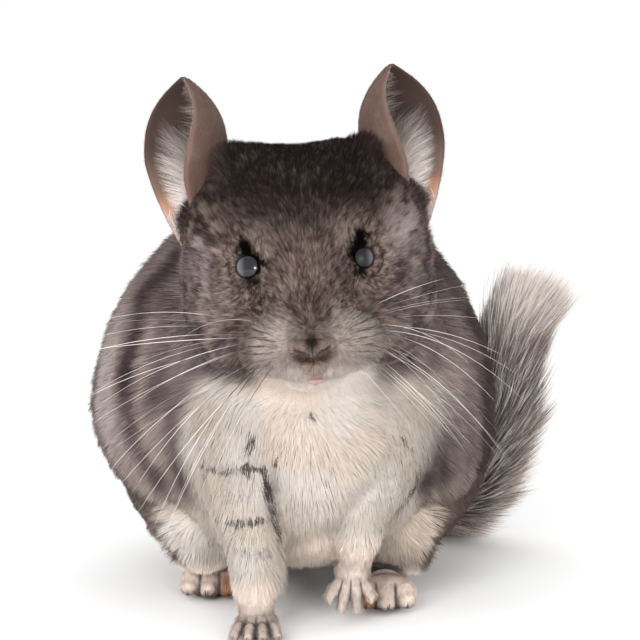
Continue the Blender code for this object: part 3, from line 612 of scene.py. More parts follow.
# Patches of the coat in millimetres, each with its middle and its reach. The first ten are in the
# body's axes and the rest in the head's, where a patch of both sides is written for the left one.
PATCHES = {
    "shoulder": ((53.0, -8.0, 80.0), (12.0, 16.0, 18.0)),
    "elbow": ((45.0, -15.0, 47.0), (12.0, 16.0, 11.0)),
    "foot of the bands": ((-49.0, -20.0, 60.0), (13.0, 16.0, 17.0)),
    "painted shade below the head": ((-61.0, -5.0, 85.0), (12.0, 14.0, 22.0)),
    "armpit": ((44.0, -22.0, 46.0), (12.0, 20.0, 15.0)),
    "long parting": ((-9.0, -50.0, 44.0), (3.6, 12.0, 16.0)),
    "level parting": ((-21.5, -46.0, 54.2), (13.0, 12.0, 3.0)),
    "painted shade under the haunch": ((40.0, -3.0, 13.0), (16.0, 24.0, 8.0)),
    "left inner toe": ((23.3, -24.0, 5.0), (4.4, 10.0, 9.0)),
    "right inner toe": ((-26.3, -4.0, 5.0), (4.4, 10.0, 9.0)),
    "brow": ((13.5, -23.0, 15.5), (8.0, 12.0, 8.0)),
    "right cheek": ((-33.0, -14.0, -4.0), (12.0, 16.0, 16.0)),
    "temple": ((33.0, -5.0, 18.0), (13.0, 20.0, 18.0)),
    "left temple": ((33.0, -7.0, 15.0), (11.0, 18.0, 14.0)),
    "left temple's pale spot": ((33.0, -7.0, 14.0), (10.0, 16.0, 11.0)),
    "right temple's pale spot": ((-34.0, -6.0, 13.0), (11.0, 16.0, 10.0)),
    "lips": ((13.5, -37.0, -21.0), (25.0, 26.0, 19.0)),
    "round the nose": ((0.0, -45.0, -21.0), (14.5, 15.0, 12.0)),
    "left lip's end": ((24.0, -20.0, -22.0), (8.0, 12.0, 8.0)),
    "bridge": ((0.0, -43.0, -9.0), (11.0, 14.0, 13.0)),
    "upper muzzle": ((12.0, -38.0, -14.0), (20.0, 22.0, 15.0)),
    "above the nose": ((0.0, -44.0, -17.6), (3.2, 7.0, 3.4)),
    "below the eye": ((17.6, -21.0, 0.7), (5.0, 8.0, 2.6)),
    "eye's inner corner": ((13.4, -23.0, 5.0), (3.2, 8.0, 4.2)),
    "lower lip": ((0.2, -35.0, -32.6), (4.4, 5.0, 2.0)),
}

# The dark wedge of painted shade over each eye, where the fur parts over the lid, in millimetres in the
# head's axes: its foot's place outwards and up, half its width there and its height, and how far it leans
# outwards on the left and on the right.
WEDGE_FOOT, WEDGE_HALF_WIDTH, WEDGE_HEIGHT, WEDGE_LEANS = (17.6, 7.6), 5.0, 13.0, (0.20, 0.34)


def patch(places, name):
    """How far each place, in millimetres, lies in a named patch, from 0 to 1."""
    return spot(places, *PATCHES[name])


def between_digits(body):
    """How far each place, in millimetres, lies in a furrow between two digits, from 0 to 1."""
    furrow = np.zeros(len(body))
    for middle, gaps, spread, levels, axis in DIGIT_GAPS:
        away = body - middle
        near = 1.0 - ease(np.linalg.norm(away * (1.0, 0.8, 0.8), axis=1), 12.0, 15.0)
        near *= 1.0 if axis == 2 else 1.0 - ease(away[:, 2], 3.0, 5.5)
        ahead = -away[:, axis]
        across = away[:, 0] / np.interp(ahead, levels, spread)
        for gap in gaps:
            deep = 1.0 - ease(np.abs(across - gap), 0.15, 0.90)
            deep *= ease(ahead, levels[0], levels[0] + 3.0)
            furrow = np.maximum(furrow, deep * near)
    return furrow


def flank_colour(points, body, wander):
    """The flanks: pale and dark bands across the lie round the right one, a plainer grey on the left
    one, darker by the tail and above, with fine ripples. turns counts the bands from the foremost."""
    x, y, z = body.T
    back = y + 0.75 * np.abs(x)
    streaked = np.stack([back + 0.12 * z + 8.0 * wander, 0.055 * z + 40 * np.sign(x), 0.02 * x], axis=1)
    streaks = 0.68 * noise(streaked, 5.6) + 0.32 * noise(points + 0.3, 0.0019)
    turns = (back + 5.0 * wander - np.interp(z, BAND_HEIGHTS, BAND_PLACES)) / BAND_STEP
    pale = 0.5 - 0.5 * np.cos(2 * np.pi * np.minimum(turns, 0.5))
    pale = blend(pale, 0.28, 0.75 * ease(-turns, 0.35, 0.75))
    banded = (1.0 - ease(x, -20.0, 0.0)) * (1.0 - ease(turns, 1.3, 1.8))
    by_tail = ease(x, 0.0, 20.0) * ease(back, 48.0, 64.0) * (1.0 - ease(z, 96.0, 112.0))
    plain = 0.26 + 0.22 * ease(streaks, 0.25, 0.78) - 0.42 * by_tail
    plain += 0.45 * patch(body, "shoulder") - 0.60 * patch(body, "elbow")
    bands = 0.10 + 0.62 * pale ** 1.2 + 0.42 * (streaks - 0.5) + 0.26 * patch(body, "foot of the bands")
    ripples = noise(np.stack([back + 3.0 * wander, 0.16 * z, 0.02 * x], axis=1) + 3.0, 1.7) - 0.5
    tone = blend(plain, bands, banded)
    tone += 0.46 * ripples - 0.30 * ease(z, 92.0, 120.0) * (1.0 - ease(y, 30.0, 60.0))
    # Painted shade on the right flank below the head.
    tone -= 0.20 * patch(body, "painted shade below the head")
    flank = mixed(FLANK_DARK, FLANK_LIGHT, np.clip(tone, 0.0, 1.0))
    edge = banded * ease(turns, 0.30, 0.60) * (1.0 - ease(z, 84.0, 112.0)) * ease(z, 40.0, 60.0)
    return mixed(flank, FLANK_EDGE, edge * (0.55 + 0.8 * (streaks - 0.5)))


def face_colour(points, head, fleck, ruff, cream, wander):
    """The head: finely flecked grey, ruff-coloured behind the cheeks, with a dark crown, pale flecked
    lips, a darker bridge, a dark wedge of painted shade over each eye, and a cream throat painted brighter
    to make up for the head's shadow."""
    side, ahead, up = np.abs(head[:, 0]), head[:, 1], head[:, 2]
    mirrored = np.stack([side, ahead, up], axis=1)
    on_left = head[:, 0] > 0.0
    wave = noise(mirrored * (1.0, 1.0, 1.6) + 5.0, 3.4) - 0.55
    fleck = fleck + 0.14 * patch(mirrored, "brow")
    fleck += 0.10 * patch(head, "right cheek")
    fleck += (0.10 + 1.5 * wave) * patch(mirrored, "temple")
    fleck += 0.45 * patch(head, "left temple")
    face = mixed(FACE_DARK, FACE_LIGHT, ease(fleck, 0.30, 0.76))
    face = mixed(face, ruff * 0.90, 0.85 * ease(side, 24.0, 34.0) * (1.0 - ease(up, 6.0, 20.0)))
    pale_spot = 0.80 * ease(fleck, 0.40, 0.70) * patch(head, "left temple's pale spot")
    face = mixed(face, FLANK_EDGE * 0.95, pale_spot)
    pale_spot = 0.55 * ease(fleck, 0.45, 0.75) * patch(head, "right temple's pale spot")
    face = mixed(face, FLANK_EDGE * 0.70, pale_spot)
    crown = ease(up + 6.0 * wander, 8.0, 31.0) * (1.0 - 0.40 * ease(side, 20.0, 34.0))
    face = mixed(face, CROWN, 0.92 * crown)

    dusk = ease(0.6 * noise(points + 0.9, 0.0008) + 0.4 * noise(points + 0.2, 0.0022), 0.46, 0.68)
    lips = ease(patch(mirrored, "lips") + 1.1 * (fleck - 0.53), 0.02, 0.95)
    lips = lips * (1.0 - 0.75 * ease(side - 2.5 * on_left, 17.5, 23.0))
    low = 0.60 * (1.0 - ease(up + 2.0 * wander, -31.5, -25.5)) * (1.0 - ease(side, 16.0, 24.0))
    face = mixed(face, MUZZLE_PALE, 0.85 * lips)
    face = mixed(face, MUZZLE_GREY, 0.80 * patch(head, "round the nose"))
    face = mixed(face, cream, low)
    face = mixed(face, MUZZLE_PALE, 0.45 * patch(head, "left lip's end"))
    flecked = mixed(FACE_DARK, FACE_LIGHT, 0.6 * ease(fleck, 0.40, 0.75))
    face = mixed(face, flecked, 0.90 * patch(head, "bridge"))
    face = mixed(face, FACE_DARK, 0.42 * dusk * patch(mirrored, "upper muzzle"))
    face = mixed(face, FACE_DARK * 0.7, 0.85 * patch(head, "above the nose"))

    above = up - WEDGE_FOOT[1]
    lean = np.where(on_left, *WEDGE_LEANS)
    narrowing = np.maximum(WEDGE_HALF_WIDTH * (1.0 - np.maximum(above, 0.0) / WEDGE_HEIGHT), 0.3)
    wedge = np.abs(side - WEDGE_FOOT[0] - lean * above) / narrowing
    wedge = 1.0 - ease(wedge + 1.1 * (fleck - 0.5), 0.45, 1.40)
    wedge *= ease(above, -2.6, -0.6) * (1.0 - ease(above, 6.0, 9.5))
    # Painted shade: the dark wedge where the fur parts over the lid.
    face = mixed(face, EYE_DARK_AND_SHADE, wedge * (1.0 - ease(ahead, -14.0, -8.0)))
    face = mixed(face, EYE_DARK_AND_SHADE, 0.90 * patch(mirrored, "below the eye"))
    face = mixed(face, EYE_DARK_AND_SHADE, 0.50 * on_left * patch(mirrored, "eye's inner corner"))
    throat = (1.0 - ease(up + 2.0 * wander, -35.0, -31.5)) * (1.0 - ease(side, 17.0, 27.0))
    # Painted light: the throat is a brighter cream than the rest, to make up for the head's shadow.
    face = mixed(face, cream * 1.15, throat)
    face = mixed(face, LIP_PINK, 0.8 * patch(head, "lower lip"))
    on_lid = 1.0 - ease(lid_margin(points), 0.0001, 0.0004)
    return mixed(face, mixed(LID_BLACK, FACE_DARK, 0.8 * ease(side, 19.0, 22.0)), on_lid)


def foot_colour(points, body, wander):
    """The paws: mottled cream, with painted shade where they are under the body, low by the floor and in
    the furrows between the digits.
    """
    x, y, z = body.T
    shaded = (1.0 - ease(y, -36.0, -28.0)) * (1.0 - ease(z - 14.0 * (x > 0.0), 7.0, 14.0))
    mottling = 0.75 + 0.45 * noise(points + 0.6, 0.0011)
    feet = FOOT_CREAM * (1.02 - 0.28 * shaded)[:, None] * mottling[:, None]
    # Painted shade low on the paws, by the floor.
    sole = (1.0 - ease(z + 3.0 * wander, 1.0, 4.5)) * (z < 6.0)
    feet = mixed(feet, SOLE_SHADE, 0.9 * sole)
    # Painted shade in the furrows between the digits.
    return mixed(feet, SOLE_SHADE * 0.45, 0.80 * between_digits(body))


def markings(points, normals):
    """The coat's colour at each point: grey flanks banded across the lie, a dark crown, a finely
    flecked face with pale muzzle and brows, a cream throat, chest, belly and legs, and pale feet. Painted
    shade darkens the belly, the forelegs, the left knee, the flank below the head and the haunches' lower
    edges; painted light brightens the upper chest and the throat."""
    share = regions(points)
    off_leg = 1.0 - share["leg"]
    body = (points - body_origin) * 1000.0
    head = to_head(points) * 1000.0
    x, y, z = body.T
    side, wide = np.abs(head[:, 0]), np.abs(x)
    wander = noise(points, 0.014) - 0.5
    fleck = 0.14 * noise(points, 0.0036) + 0.30 * noise(points + 0.7, 0.0013)
    fleck = fleck + 0.56 * noise(points + 0.2, 0.0006)

    flank = mixed(flank_colour(points, body, wander), CROWN, 0.35 * ease(normals[:, 2], 0.55, 0.95))
    mottling = fleck + 0.5 * (noise(points + 0.4, 0.0045) - 0.5)
    ruff = mixed(FLANK_DARK, FLANK_LIGHT, ease(mottling, 0.22, 0.84))
    by_head = 1.0 - ease(np.linalg.norm((head / 1000.0 - HEAD_MIDDLE) / HEAD_REACH, axis=1), 1.10, 1.60)
    flank = mixed(flank, ruff, 0.75 * by_head * (1.0 - ease(head[:, 2], 8.0, 22.0)))

    across = np.abs(x - 3.0) - 5.0 * ease(x, 15.0, 40.0) + 14.0 * wander
    chest = ease(-normals[:, 1], 0.10, 0.45) * (1.0 - ease(across, 33.0, 47.0))
    chest *= 1.0 - ease(z, 80.0, 88.0)
    chest *= 1.0 - patch(body + 9.0 * wander[:, None], "armpit")
    knee = ease(-normals[:, 1], 0.30, 0.62) * (1.0 - ease(z + 10.0 * wander, 30.0, 48.0))
    belly = ease(-normals[:, 2], 0.25, 0.65) * (1.0 - ease(wide, 32.0, 44.0))
    belly *= 1.0 - ease(z, 50.0, 60.0)
    cream = mixed(CREAM, WARM_CREAM, ease(noise(points, 0.012), 0.3, 0.8))
    greyer = 0.30 * ease(noise(points + 0.1, 0.0080), 0.45, 0.85) * ease(np.abs(x - 3.0), 12.0, 34.0)
    cream = mixed(cream, FLANK_LIGHT, greyer * ease(z, 40.0, 60.0))
    # Painted light: the upper middle of the chest is brightened, to make up for the head's shadow.
    bright = 0.83 + 0.40 * ease(z, 70.0, 82.0) * (1.0 - ease(wide, 16.0, 30.0))
    colour = mixed(flank, cream * bright[:, None], chest)
    # Painted shade: the low front of the haunches darkens towards a tan shade on the left side, away from
    # the light.
    colour = mixed(colour, mixed(cream * 0.80, PAINTED_SHADE_TAN * 1.1, 0.75 * ease(x, 5.0, 40.0)), knee)
    # Painted shade: the belly under the body is a darker cream tinged with the tan shade.
    colour = mixed(colour, mixed(cream * 0.82, PAINTED_SHADE_TAN, 0.30), belly)
    # Painted shade: the forelegs' cream is darkened to 0.72.
    colour = mixed(colour, cream * 0.72, share["leg"])
    # The partings: dark underfur, with painted shadow under the locks above them.
    parting = patch(body, "long parting") + 0.5 * patch(body, "level parting")
    colour = mixed(colour, STREAK, 0.5 * np.minimum(parting, 1.0))
    # The haunches' lower side edges: partly their dark fringe of fur, partly painted shade under them.
    hem = ease(np.abs(normals[:, 0]) + 0.4 * (noise(points, 0.0022) - 0.5), 0.52, 0.80)
    hem = hem * (1.0 - ease(z + 6.0 * wander, 34.0, 44.0)) * ease(z, 8.0, 15.0)
    colour = mixed(colour, HEM_BROWN_AND_SHADE, 0.85 * hem * off_leg * ease(wide, 38.0, 46.0))
    # Painted shade under the left haunch.
    colour = mixed(colour, HEM_BROWN_AND_SHADE * 0.7, 0.75 * (patch(body, "painted shade under the haunch") * off_leg))

    behind = ease(head[:, 1], -15.0, -2.0) * ease(side, 22.0, 32.0) * (1.0 - ease(head[:, 2], 6.0, 18.0))
    face = face_colour(points, head, fleck, ruff, cream, wander)
    colour = mixed(colour, face, share["head"] * (1.0 - 0.8 * behind))
    colour = mixed(colour, foot_colour(points, body, wander), share["pale_foot"])
    for toe in ("left inner toe", "right inner toe"):
        colour = mixed(colour, TOE_ORANGE, patch(body, toe))
    return colour


def coat_material(name, roughness, specular=0.0, bump=None):
    """A finish that takes its colour from the piece's own coat colours, with a share of plain specular
    light and an optional fine bump (its spacing and height) for short hair that lies flat."""
    material = bpy.data.materials.new(name)
    material.use_nodes = True
    nodes, links = material.node_tree.nodes, material.node_tree.links
    shader = nodes["Principled BSDF"]
    shader.inputs["Roughness"].default_value = roughness
    shader.inputs["Specular IOR Level"].default_value = specular
    colour = nodes.new("ShaderNodeVertexColor")
    colour.layer_name = "coat"
    links.new(colour.outputs["Color"], shader.inputs["Base Color"])
    if bump:
        place = nodes.new("ShaderNodeTexCoord")
        pattern = nodes.new("ShaderNodeTexNoise")
        pattern.inputs["Scale"].default_value = 1.0 / bump[0]
        pattern.inputs["Detail"].default_value = 4.0
        relief = nodes.new("ShaderNodeBump")
        relief.inputs["Distance"].default_value = bump[1]
        relief.inputs["Strength"].default_value = 0.6
        links.new(place.outputs["Object"], pattern.inputs["Vector"])
        links.new(pattern.outputs["Fac"], relief.inputs["Height"])
        links.new(relief.outputs["Normal"], shader.inputs["Normal"])
    return material


def place_piece(piece, material, slot, *replaced):
    """Gives a piece its finish, rides it on the still body and hides the imported parts that it replaces.
    """
    piece.data.materials.append(material)
    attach(piece, "root")
    if replaced:
        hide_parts(*replaced)


UNWRAP_ANGLE = math.radians(66)
skin = mesh_piece("skin", skin_points, skin_triangles)
bpy.context.view_layer.objects.active = skin
skin.select_set(True)
bpy.ops.object.mode_set(mode="EDIT")
bpy.ops.mesh.select_all(action="SELECT")
bpy.ops.uv.smart_project(angle_limit=UNWRAP_ANGLE, island_margin=0.001)
bpy.ops.object.mode_set(mode="OBJECT")
skin.data.uv_layers[0].name = "OFBake"
skin_uv = np.empty(len(skin.data.loops) * 2, np.float32)
skin.data.uv_layers[0].uv.foreach_get("vector", skin_uv)
skin_uv = skin_uv.reshape(-1, 3, 2)
skin_normals = np.empty(len(skin.data.vertices) * 3, np.float32)
skin.data.vertices.foreach_get("normal", skin_normals)
skin_normals = skin_normals.reshape(-1, 3).astype(float)
skin_colours = markings(skin_points, skin_normals)
under_hair = 0.62 + 0.32 * ease(skin_colours.mean(axis=1), 0.15, 0.55)
skin_colours = skin_colours * under_hair[:, None]
layer = skin.data.color_attributes.new("coat", "FLOAT_COLOR", "POINT")
layer.data.foreach_set(
    "color", np.c_[skin_colours, np.ones(len(skin_colours))].astype(np.float32).ravel()
)
hide = coat_material("short_haired_hide", 0.75, bump=(0.0008, 0.0001))
place_piece(
    skin, hide, "grey_fur", *FLESH_NODES, *PAW_TOPS, "chin", "whisker_pad_left", "whisker_pad_right",
    "tail_base", "tail_middle", "tail_tip",
)


# Coat of the body. Dense soft hair in thin tufts, each a flat tapering blade rooted on the skin,
# darker at its root. Neighbours gather a little into clumps. It is grown in eight pieces by place.

TUFT_SHARE = 1.0
BODY_TUFTS = 300000
HEAD_TUFTS = 290000
PULL_LIMIT = 0.30
FLOOR_GAP = 0.0005
UV_PATCH = 0.003
CLUMP_DRAWS = 4096
CELL_PRIMES = (73856093, 19349663, 83492791)
clump_table = np.random.default_rng(5).random((CLUMP_DRAWS, 6))


def facing_of(corners):
    """The way each triangle faces, from its corners, as long as twice its area."""
    return np.cross(corners[:, 1] - corners[:, 0], corners[:, 2] - corners[:, 0])


def roots_on(points, point_normals, triangles, corner_uv, count, weight, rng):
    """Roots spread over a surface: triangles drawn by area times weight at even steps with a random
    start, and a random place in each. Gives places, normals and places on the surface's unwrap."""
    area = np.linalg.norm(facing_of(points[triangles]), axis=1)
    reach = np.cumsum(area * weight)
    draw = (np.arange(count) + rng.random(count)) / count * reach[-1]
    chosen = np.minimum(np.searchsorted(reach, draw), len(reach) - 1)
    a, b = np.sqrt(rng.random(count)), rng.random(count)
    share = np.stack([1 - a, a * (1 - b), a * b], axis=1)[..., None]
    index = triangles[chosen]
    return ((points[index] * share).sum(1), unit((point_normals[index] * share).sum(1)),
            (corner_uv[chosen] * share).sum(1))


def level_with(ways, normals):
    """Ways less their share along the normals, so that they lie in the surface."""
    return ways - normals * (ways * normals).sum(1, keepdims=True)


def flat_on(ways, normals):
    """Ways laid flat on a surface, as unit vectors."""
    return unit(level_with(ways, normals))


# Which way the hair of the forelegs, their fringe and the paws lies, in the model's axes.
LIMB_LIES = {"leg": (0.0, 0.10, -1.0), "fringe": (0.45, -0.10, -0.90), "foot": (0.0, -0.55, -0.80)}


def lie_of_coat(points, normals):
    """Which way the hair lies: back from the nose over the head, back and down over the body, down
    the forelegs and forwards on the toes, laid flat on the skin."""
    share = regions(points)
    at = to_head(points)
    x = (points - body_origin)[:, 0]
    flow = np.stack([0.25 * np.tanh(x / 0.03), np.full(len(x), 1.0), np.full(len(x), -0.62)], axis=1)
    from_nose = unit(at - (0.0, -0.050, -0.016)) + (0.0, 0.35, 0.0)
    flow = mixed(flow, unit(from_nose) @ head_turn.T, share["head"])
    for centre in eye_centres.values():
        from_eye = points - centre
        flow = mixed(flow, 1.6 * unit(from_eye), 0.7 * within(np.linalg.norm(from_eye, axis=1), "eye"))
    for part, way in LIMB_LIES.items():
        flow = mixed(flow, np.array(way), share[part])
    return flat_on(flow, normals)


def clumps(points, size):
    """The nearest of the jittered centres of cubic cells, and that centre's own random numbers."""
    cell = np.floor(points / size).astype(np.int64)
    nearest = np.full(len(points), np.inf)
    centre = np.zeros_like(points)
    key = np.zeros(len(points), np.int64)
    for step in np.ndindex(3, 3, 3):
        c = cell + step - 1
        k = np.bitwise_xor.reduce(c * CELL_PRIMES, axis=1) % CLUMP_DRAWS
        place = (c + 0.1 + 0.8 * clump_table[k, :3]) * size
        distance = ((points - place) ** 2).sum(1)
        closer = distance < nearest
        nearest[closer] = distance[closer]
        centre[closer] = place[closer]
        key[closer] = k[closer]
    return centre, clump_table[key]


def tuft_blades(roots, normals, lie, length, lift, width, pull, twist, steps):
    """Flat tapering blades. A blade's middle line leaves its root at 1.6 times its lift and flattens
    to once its lift at the tip, and is pulled sideways by pull times the square of the share of its
    length. Pairs of points stand either side of it and one point ends it."""
    s = np.linspace(0.0, 1.0, steps + 1)
    rise = lift[:, None] * (1.6 - 0.6 * s)
    reach = length[:, None] * s
    line = (roots[:, None] + lie[:, None] * (reach * np.cos(rise))[..., None]
            + normals[:, None] * (reach * np.sin(rise))[..., None]
            + pull[:, None] * (s ** 2)[None, :, None])
    across = np.cross(lie, normals) * np.cos(twist)[:, None] + normals * np.sin(twist)[:, None]
    half = 0.5 * width[:, None] * (1.0 - s[:-1]) ** 0.55
    offset = across[:, None] * half[..., None]
    pairs = np.stack([line[:, :-1] - offset, line[:, :-1] + offset], axis=2)
    points = np.concatenate([pairs.reshape(len(roots), -1, 3), line[:, -1:]], axis=1)
    k = 2 * np.arange(steps - 1)
    walls = np.stack([k, k + 1, k + 3, k, k + 3, k + 2], axis=-1).reshape(-1, 3)
    one = np.concatenate([walls, [[2 * steps - 2, 2 * steps - 1, 2 * steps]]])
    size = 2 * steps + 1
    triangles = (one[None] + size * np.arange(len(roots))[:, None, None]).reshape(-1, 3)
    return points, triangles


def blade_uv(root_uv, steps):
    """A small patch of the unwrap for each blade, at its root's place, inside the map's edges."""
    s = np.linspace(0.0, 1.0, steps + 1)
    side = np.repeat(s[:-1], 2)
    u = np.append(np.tile((-0.5, 0.5), steps), 0.0) * UV_PATCH
    v = np.append(side - 0.5, 0.5) * UV_PATCH
    inside = np.clip(root_uv, UV_PATCH, 1.0 - UV_PATCH)
    return (inside[:, None] + np.stack([u, v], axis=1)[None]).reshape(-1, 2)


def blade_colours(root, middle, tip, steps):
    """Each blade's colours: root to middle over its first half, middle to tip over the second."""
    s = np.append(np.repeat(np.linspace(0.0, 1.0, steps + 1)[:-1], 2), 1.0)[None, :, None]
    low = root[:, None] + (middle - root)[:, None] * np.clip(s * 2, 0, 1)
    return (low + (tip - middle)[:, None] * np.clip(s * 2 - 1, 0, 1)).reshape(-1, 3)


def place_hairs(name, points, triangles, tones, uv, steps, slot, shading=None):
    """Blades as a piece of fur, with their root, middle and tip colours and their roots' unwrap."""
    colours = blade_colours(*tones, steps)
    piece = mesh_piece(name, points.reshape(-1, 3), triangles, colours, blade_uv(uv, steps), shading)
    place_piece(piece, fur, slot)


def grow_coat(name, slot, roots, normals, uv, clump_size, gather, lean, contrast, steps, rng):
    """A piece of coat on these roots: how far it gathers into clumps of that size, leans its own way
    and varies in tone. The shading follows the skin below, so that the tufts read as one coat."""
    length, lift, width = hair_form(roots)
    lie = lie_of_coat(roots, normals)
    centre, draw = clumps(roots, clump_size)
    own_way = (draw[:, 3:6] - 0.5) + 0.5 * (rng.random((len(roots), 3)) - 0.5)
    lie = unit(lie + lean * level_with(own_way, normals))
    length = length * (0.80 + 0.22 * draw[:, 0] + 0.22 * rng.random(len(roots)))
    lift = lift * (0.84 + 0.18 * draw[:, 1] + 0.26 * rng.random(len(roots)))
    twist = rng.uniform(-0.45, 0.45, len(roots))
    width = width / math.sqrt(TUFT_SHARE)
    pull = gather * level_with(centre - roots, normals)
    limit = PULL_LIMIT * length / np.maximum(np.linalg.norm(pull, axis=1), 1e-9)
    pull *= np.minimum(1.0, limit)[:, None]
    points, triangles = tuft_blades(roots, normals, lie, length, lift, width, pull, twist, steps)
    points[..., 2] = np.maximum(points[..., 2], FLOOR_GAP)
    spread = lie * (length * np.cos(lift))[:, None] + normals * (length * np.sin(lift))[:, None]
    low, high = (markings(roots + share * spread + share ** 2 * pull, normals) for share in (0.35, 0.90))
    bright = ease(high.mean(axis=1), 0.15, 0.55)
    vary = contrast * (1.0 - 0.65 * bright) + 0.25 * regions(roots)["foot"]
    value = 1.0 + vary * (0.4 * draw[:, 2] + rng.random(len(roots)) - 0.65)
    tip = high * value[:, None]
    middle = (low + high) * (0.50 * value + 0.03)[:, None]
    root = low * (0.62 + 0.35 * bright)[:, None]
    across = np.cross(lie, normals) * np.cos(twist)[:, None] + normals * np.sin(twist)[:, None]
    own = unit(np.cross(spread, across))
    own *= np.where((own * normals).sum(1) < 0.0, -1.0, 1.0)[:, None]
    soft = mixed(unit(normals + 0.35 * lie), own, regions(roots)["paw"])
    shading = np.repeat(unit(soft), 2 * steps + 1, axis=0)
    place_hairs("coat_" + name, points, triangles, (root, middle, tip), uv, steps, slot, shading)


fur = coat_material("soft_fur", 0.85)
rng = np.random.default_rng(11)
middles = skin_points[skin_triangles].mean(axis=1)
where = regions(middles)
tail_distance = np.min(
    [np.linalg.norm(middles - p, axis=1) for p in tail_place(np.linspace(0.25, 1.0, 24))], axis=0
)
bare_tail = tail_distance < TAIL_CORE_RADIUS * 1.25
forward = ease(-unit(facing_of(skin_points[skin_triangles]))[:, 1], 0.1, 0.6)
on_body = 1.0 + 0.5 * forward + 1.2 * where["leg"] + 5.0 * where["foot"]
on_body = on_body * (1.0 - where["head"]) * ~bare_tail
skin_parts = (skin_points, skin_normals, skin_triangles, skin_uv)
roots, normals, uv = roots_on(*skin_parts, int(BODY_TUFTS * TUFT_SHARE), on_body, rng)
x, y, z = (roots - body_origin).T
zone = np.where(y > 0.045, np.where(z > 0.075, 6, 7),
                np.where(y < -0.018, np.where(x > 0.0, 0, 1), np.where(x > 0.0, 2, 4) + (z > 0.065)))
ZONES = ("chest_left", "chest_right", "hip_left", "flank_left", "hip_right", "flank_right", "back", "rump")
# How the coat gathers, wanders and varies, and the slot, on the calm chest and elsewhere.
BODY_CLUMP = 0.0030
CALM, LIVELY = (0.16, 0.15, 0.20, "pale_fur"), (0.24, 0.22, 0.60, "grey_fur")
for number, name in enumerate(ZONES):
    here = zone == number
    gather, lean, contrast, slot = CALM if "chest" in name else LIVELY
    given = roots[here], normals[here], uv[here]
    grow_coat(name, slot, *given, BODY_CLUMP, gather, lean, contrast, 2, rng)


# Coat of the head. Short plush hair that lies back from the nose, shortest on the muzzle and round
# the eyes; each tuft is one thin triangle, set much closer than on the body.

HEAD_CLUMP, HEAD_GATHER, HEAD_OWN_WAY, HEAD_CONTRAST = 0.0012, 0.26, 0.55, 1.15
FACE_LIMIT = -0.012
off_rim = ease(lid_margin(middles), 0.00005, 0.0002)
on_head = where["head"] * (1.0 + 1.2 * where["muzzle"] + 1.6 * where["eye"]) * off_rim
roots, normals, uv = roots_on(*skin_parts, int(HEAD_TUFTS * TUFT_SHARE), on_head, rng)
in_front = to_head(roots)[:, 1] < FACE_LIMIT
for name, here in (("face", in_front), ("crown", ~in_front)):
    given = roots[here], normals[here], uv[here]
    grow_coat(name, "grey_fur", *given, HEAD_CLUMP, HEAD_GATHER, HEAD_OWN_WAY, HEAD_CONTRAST, 1, rng)

# Dark hairs that lie in rows on the lips, fanning out from the nose, where the whiskers root.
ROW_STEP, ROW_HALF_WIDTH = math.radians(7.5), 0.09
ROW_HAIRS, ROW_HAIR, ROW_HAIR_WIDTH = 15000, 0.0029, 0.00011
ROWS_MIDDLE, ROWS_REACH = (0.0185, -0.0360, -0.0175), (0.0110, 0.0190, 0.0135)
on_lips = where["head"] * spot(one_sided(middles), ROWS_MIDDLE, ROWS_REACH)
roots, normals, uv = roots_on(*skin_parts, ROW_HAIRS, on_lips, rng)
at = to_head(roots) - (0.0, -0.0440, -0.0200)
angle = np.arctan2(at[:, 2], np.abs(at[:, 0]))
in_row = np.abs((angle / ROW_STEP) % 1.0 - 0.5) < ROW_HALF_WIDTH
roots, normals, uv, at = roots[in_row], normals[in_row], uv[in_row], at[in_row]
way = flat_on(unit(at) @ head_turn.T, normals)
count = len(roots)
points, triangles = tuft_blades(
    roots + normals * 0.0003, normals, way, ROW_HAIR * rng.uniform(0.5, 1.3, count),
    np.radians(rng.uniform(7, 17, count)), np.full(count, ROW_HAIR_WIDTH), 0 * way,
    rng.uniform(-0.4, 0.4, count), 2)
tone = STREAK * rng.uniform(0.8, 2.6, (count, 1))
place_hairs("lip_rows", points, triangles, (tone, tone, tone), uv, 2, "pale_fur")


# Dark partings on the breast and the right foreleg: rows of short dark hairs on top of the coat, for the
# dark underfur in each parting and the painted shadow under the lock above it.
# Each is a line of (x, z) places on the front in millimetres, its half width and its strokes' length,
# the number of hairs and their paleness.
PARTINGS = (
    (((-33.0, 54.4), (-26.0, 53.6), (-21.7, 54.4)), 0.7, 1.5, 520, 0.22),
    (((-22.5, 54.4), (-16.0, 54.7), (-11.5, 54.4)), 0.7, 1.6, 440, 0.15),
    (((-12.2, 54.5), (-11.6, 50.0), (-10.8, 44.4), (-9.4, 38.0), (-8.4, 31.5)), 1.1, 3.4, 900, 0.05),
    (((-15.6, 66.0), (-17.4, 60.6)), 1.2, 2.6, 260, 0.12),
    (((-25.5, 46.8), (-18.0, 45.2)), 1.6, 1.8, 200, 0.60),
    (((-27.5, 37.4), (-20.0, 36.8)), 0.6, 1.5, 330, 0.25),
    (((-20.5, 37.0), (-12.6, 38.2)), 0.9, 1.8, 420, 0.20),
    (((-21.0, 28.6), (-12.4, 27.0)), 1.9, 2.0, 420, 0.45),
    (((-8.0, 58.0), (-5.8, 55.0)), 0.7, 2.0, 120, 0.10),
    (((34.6, 63.6), (36.8, 59.0)), 0.6, 2.4, 90, 0.15),
    (((27.6, 66.8), (28.8, 63.8)), 0.5, 1.8, 40, 0.30),
    (((3.6, 72.9), (4.4, 71.8)), 0.8, 1.4, 60, 0.40),
    (((10.6, 56.0), (8.6, 51.0), (9.0, 47.0)), 0.6, 2.6, 60, 0.55),
    (((40.8, 51.5), (37.3, 43.2), (33.0, 38.2), (27.2, 32.5)), 1.2, 2.6, 560, 0.12),
)
PARTING_WIDTH = 0.00014
FRONT_LIMIT = -18.0


